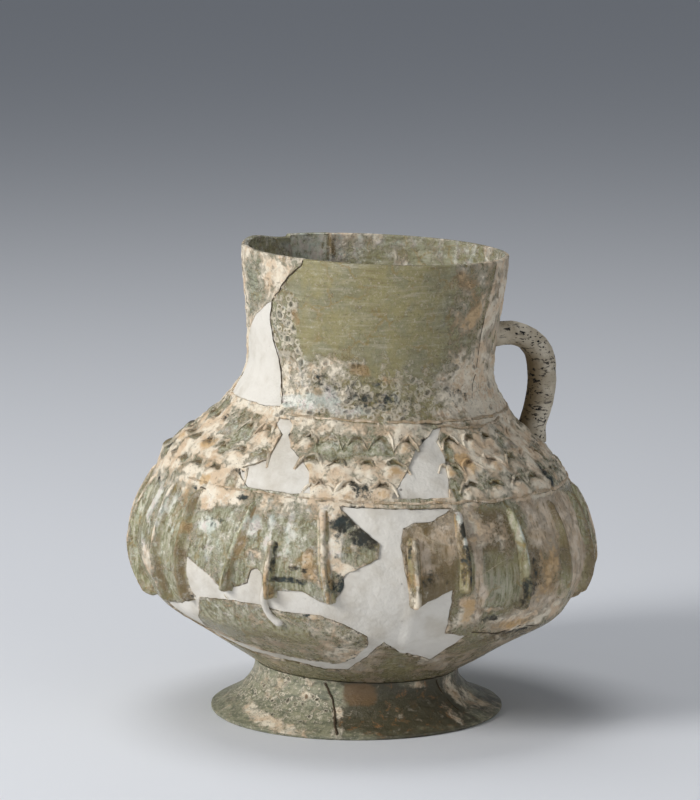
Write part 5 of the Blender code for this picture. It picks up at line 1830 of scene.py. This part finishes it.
def hand_over(piece: bpy.types.Object, material: bpy.types.Material, slot: str, *nodes: str) -> None:
    """Finishes a piece: its material, what it rides on and what it stands for."""
    piece.data.materials.clear()
    piece.data.materials.append(material)
    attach(piece, "root")
    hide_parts(*nodes)
    LOG.info("%s: %d faces, for %s", piece.name, len(piece.data.polygons), ", ".join(nodes))


def main() -> None:
    """Builds the jug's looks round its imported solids."""
    logging.basicConfig(level=logging.INFO, format="%(message)s")
    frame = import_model()
    Studio().build()

    wall = Wall()
    breaks = Breaks(wall)
    scales = ScaleBand(wall, breaks)
    painting = Painting(wall, breaks, scales)
    vessel = VesselGlass(wall, breaks, scales, painting)
    glass = WeatheredGlass().material()
    trail_finish = WeatheredGlass(name="crusted_trail_looks", clearness=0.2).material()
    plaster = Plaster().material()
    grime = Grime().material()
    filled = Grime("crack_crust_looks", srgb(214, 202, 174), srgb(190, 172, 140)).material()

    body, sherd, fills = vessel.build()
    for piece, node in ((body, "glass_body"), (sherd, "lower_sherd")):
        Shaping.leaned(piece, wall)
        Shaping.smooth(piece)
        hand_over(piece, glass, "weathered_glass", node)
    for fill, node in zip(fills, breaks.fills()):
        Shaping.leaned(fill, wall)
        Shaping.smooth(fill)
        hand_over(fill, plaster, "plaster", node)

    rib_nodes = sorted(node for node in frame["nodes"] if node.startswith("rib_"))
    scale_nodes = sorted(node for node in frame["nodes"] if node.startswith("scale_row"))
    applied = [*zip(Ribs(wall, breaks, painting).build(), rib_nodes), *zip(scales.build(painting), scale_nodes),
               *zip(Threads(wall, painting).build(), ("shoulder_thread", "neck_thread"))]
    for piece, node in applied:
        Shaping.leaned(piece, wall)
        Shaping.smooth(piece, 60.0)
        hand_over(piece, trail_finish, "crusted_glass", node)

    handle = Handle(wall).build()
    Shaping.leaned(handle, wall)
    Shaping.smooth(handle, 60.0)
    hand_over(handle, PittedRod().material(), "pitted_glass", "handle")

    foot = Foot(wall).build()
    Shaping.smooth(foot)
    hand_over(foot, DarkFootGlass().material(), "dark_glass", "foot")

    dirt = [("neck_crack_dirt", 0.0006, painting.neck_crack), ("neck_ridge_dirt", 0.0003, painting.neck_ridge),
            ("shoulder_crack_dirt", 0.0006, painting.shoulder_crack), ("low_crack_dirt", 0.0004, painting.low_crack)]
    pale = [(f"panel_crack_{i + 1}", 0.0003, line) for i, line in enumerate(painting.panel_cracks)]
    for finish, cracks in ((grime, dirt), (filled, pale)):
        for name, width, line in cracks:
            crack = crack_line(name, width, line, lambda azimuth, height: wall.point(azimuth, height, 0.0001))
            Shaping.leaned(crack, wall)
            hand_over(crack, finish, "weathered_glass", "glass_body")
    for name, width, line in Foot(wall).cracks:
        hand_over(crack_line(name, width, line, Foot(wall).place), grime, "dark_glass", "foot")
    drip = Shaping.rod("plaster_drip", [wall.point(azimuth, height, 0.0002) for azimuth, height, _ in vessel.drip],
                       [width for _, _, width in vessel.drip], sides=4)
    Shaping.leaned(drip, wall)
    Shaping.smooth(drip, 80.0)
    hand_over(drip, plaster, "plaster", "plaster_belly")


if __name__ == "__main__":
    main()
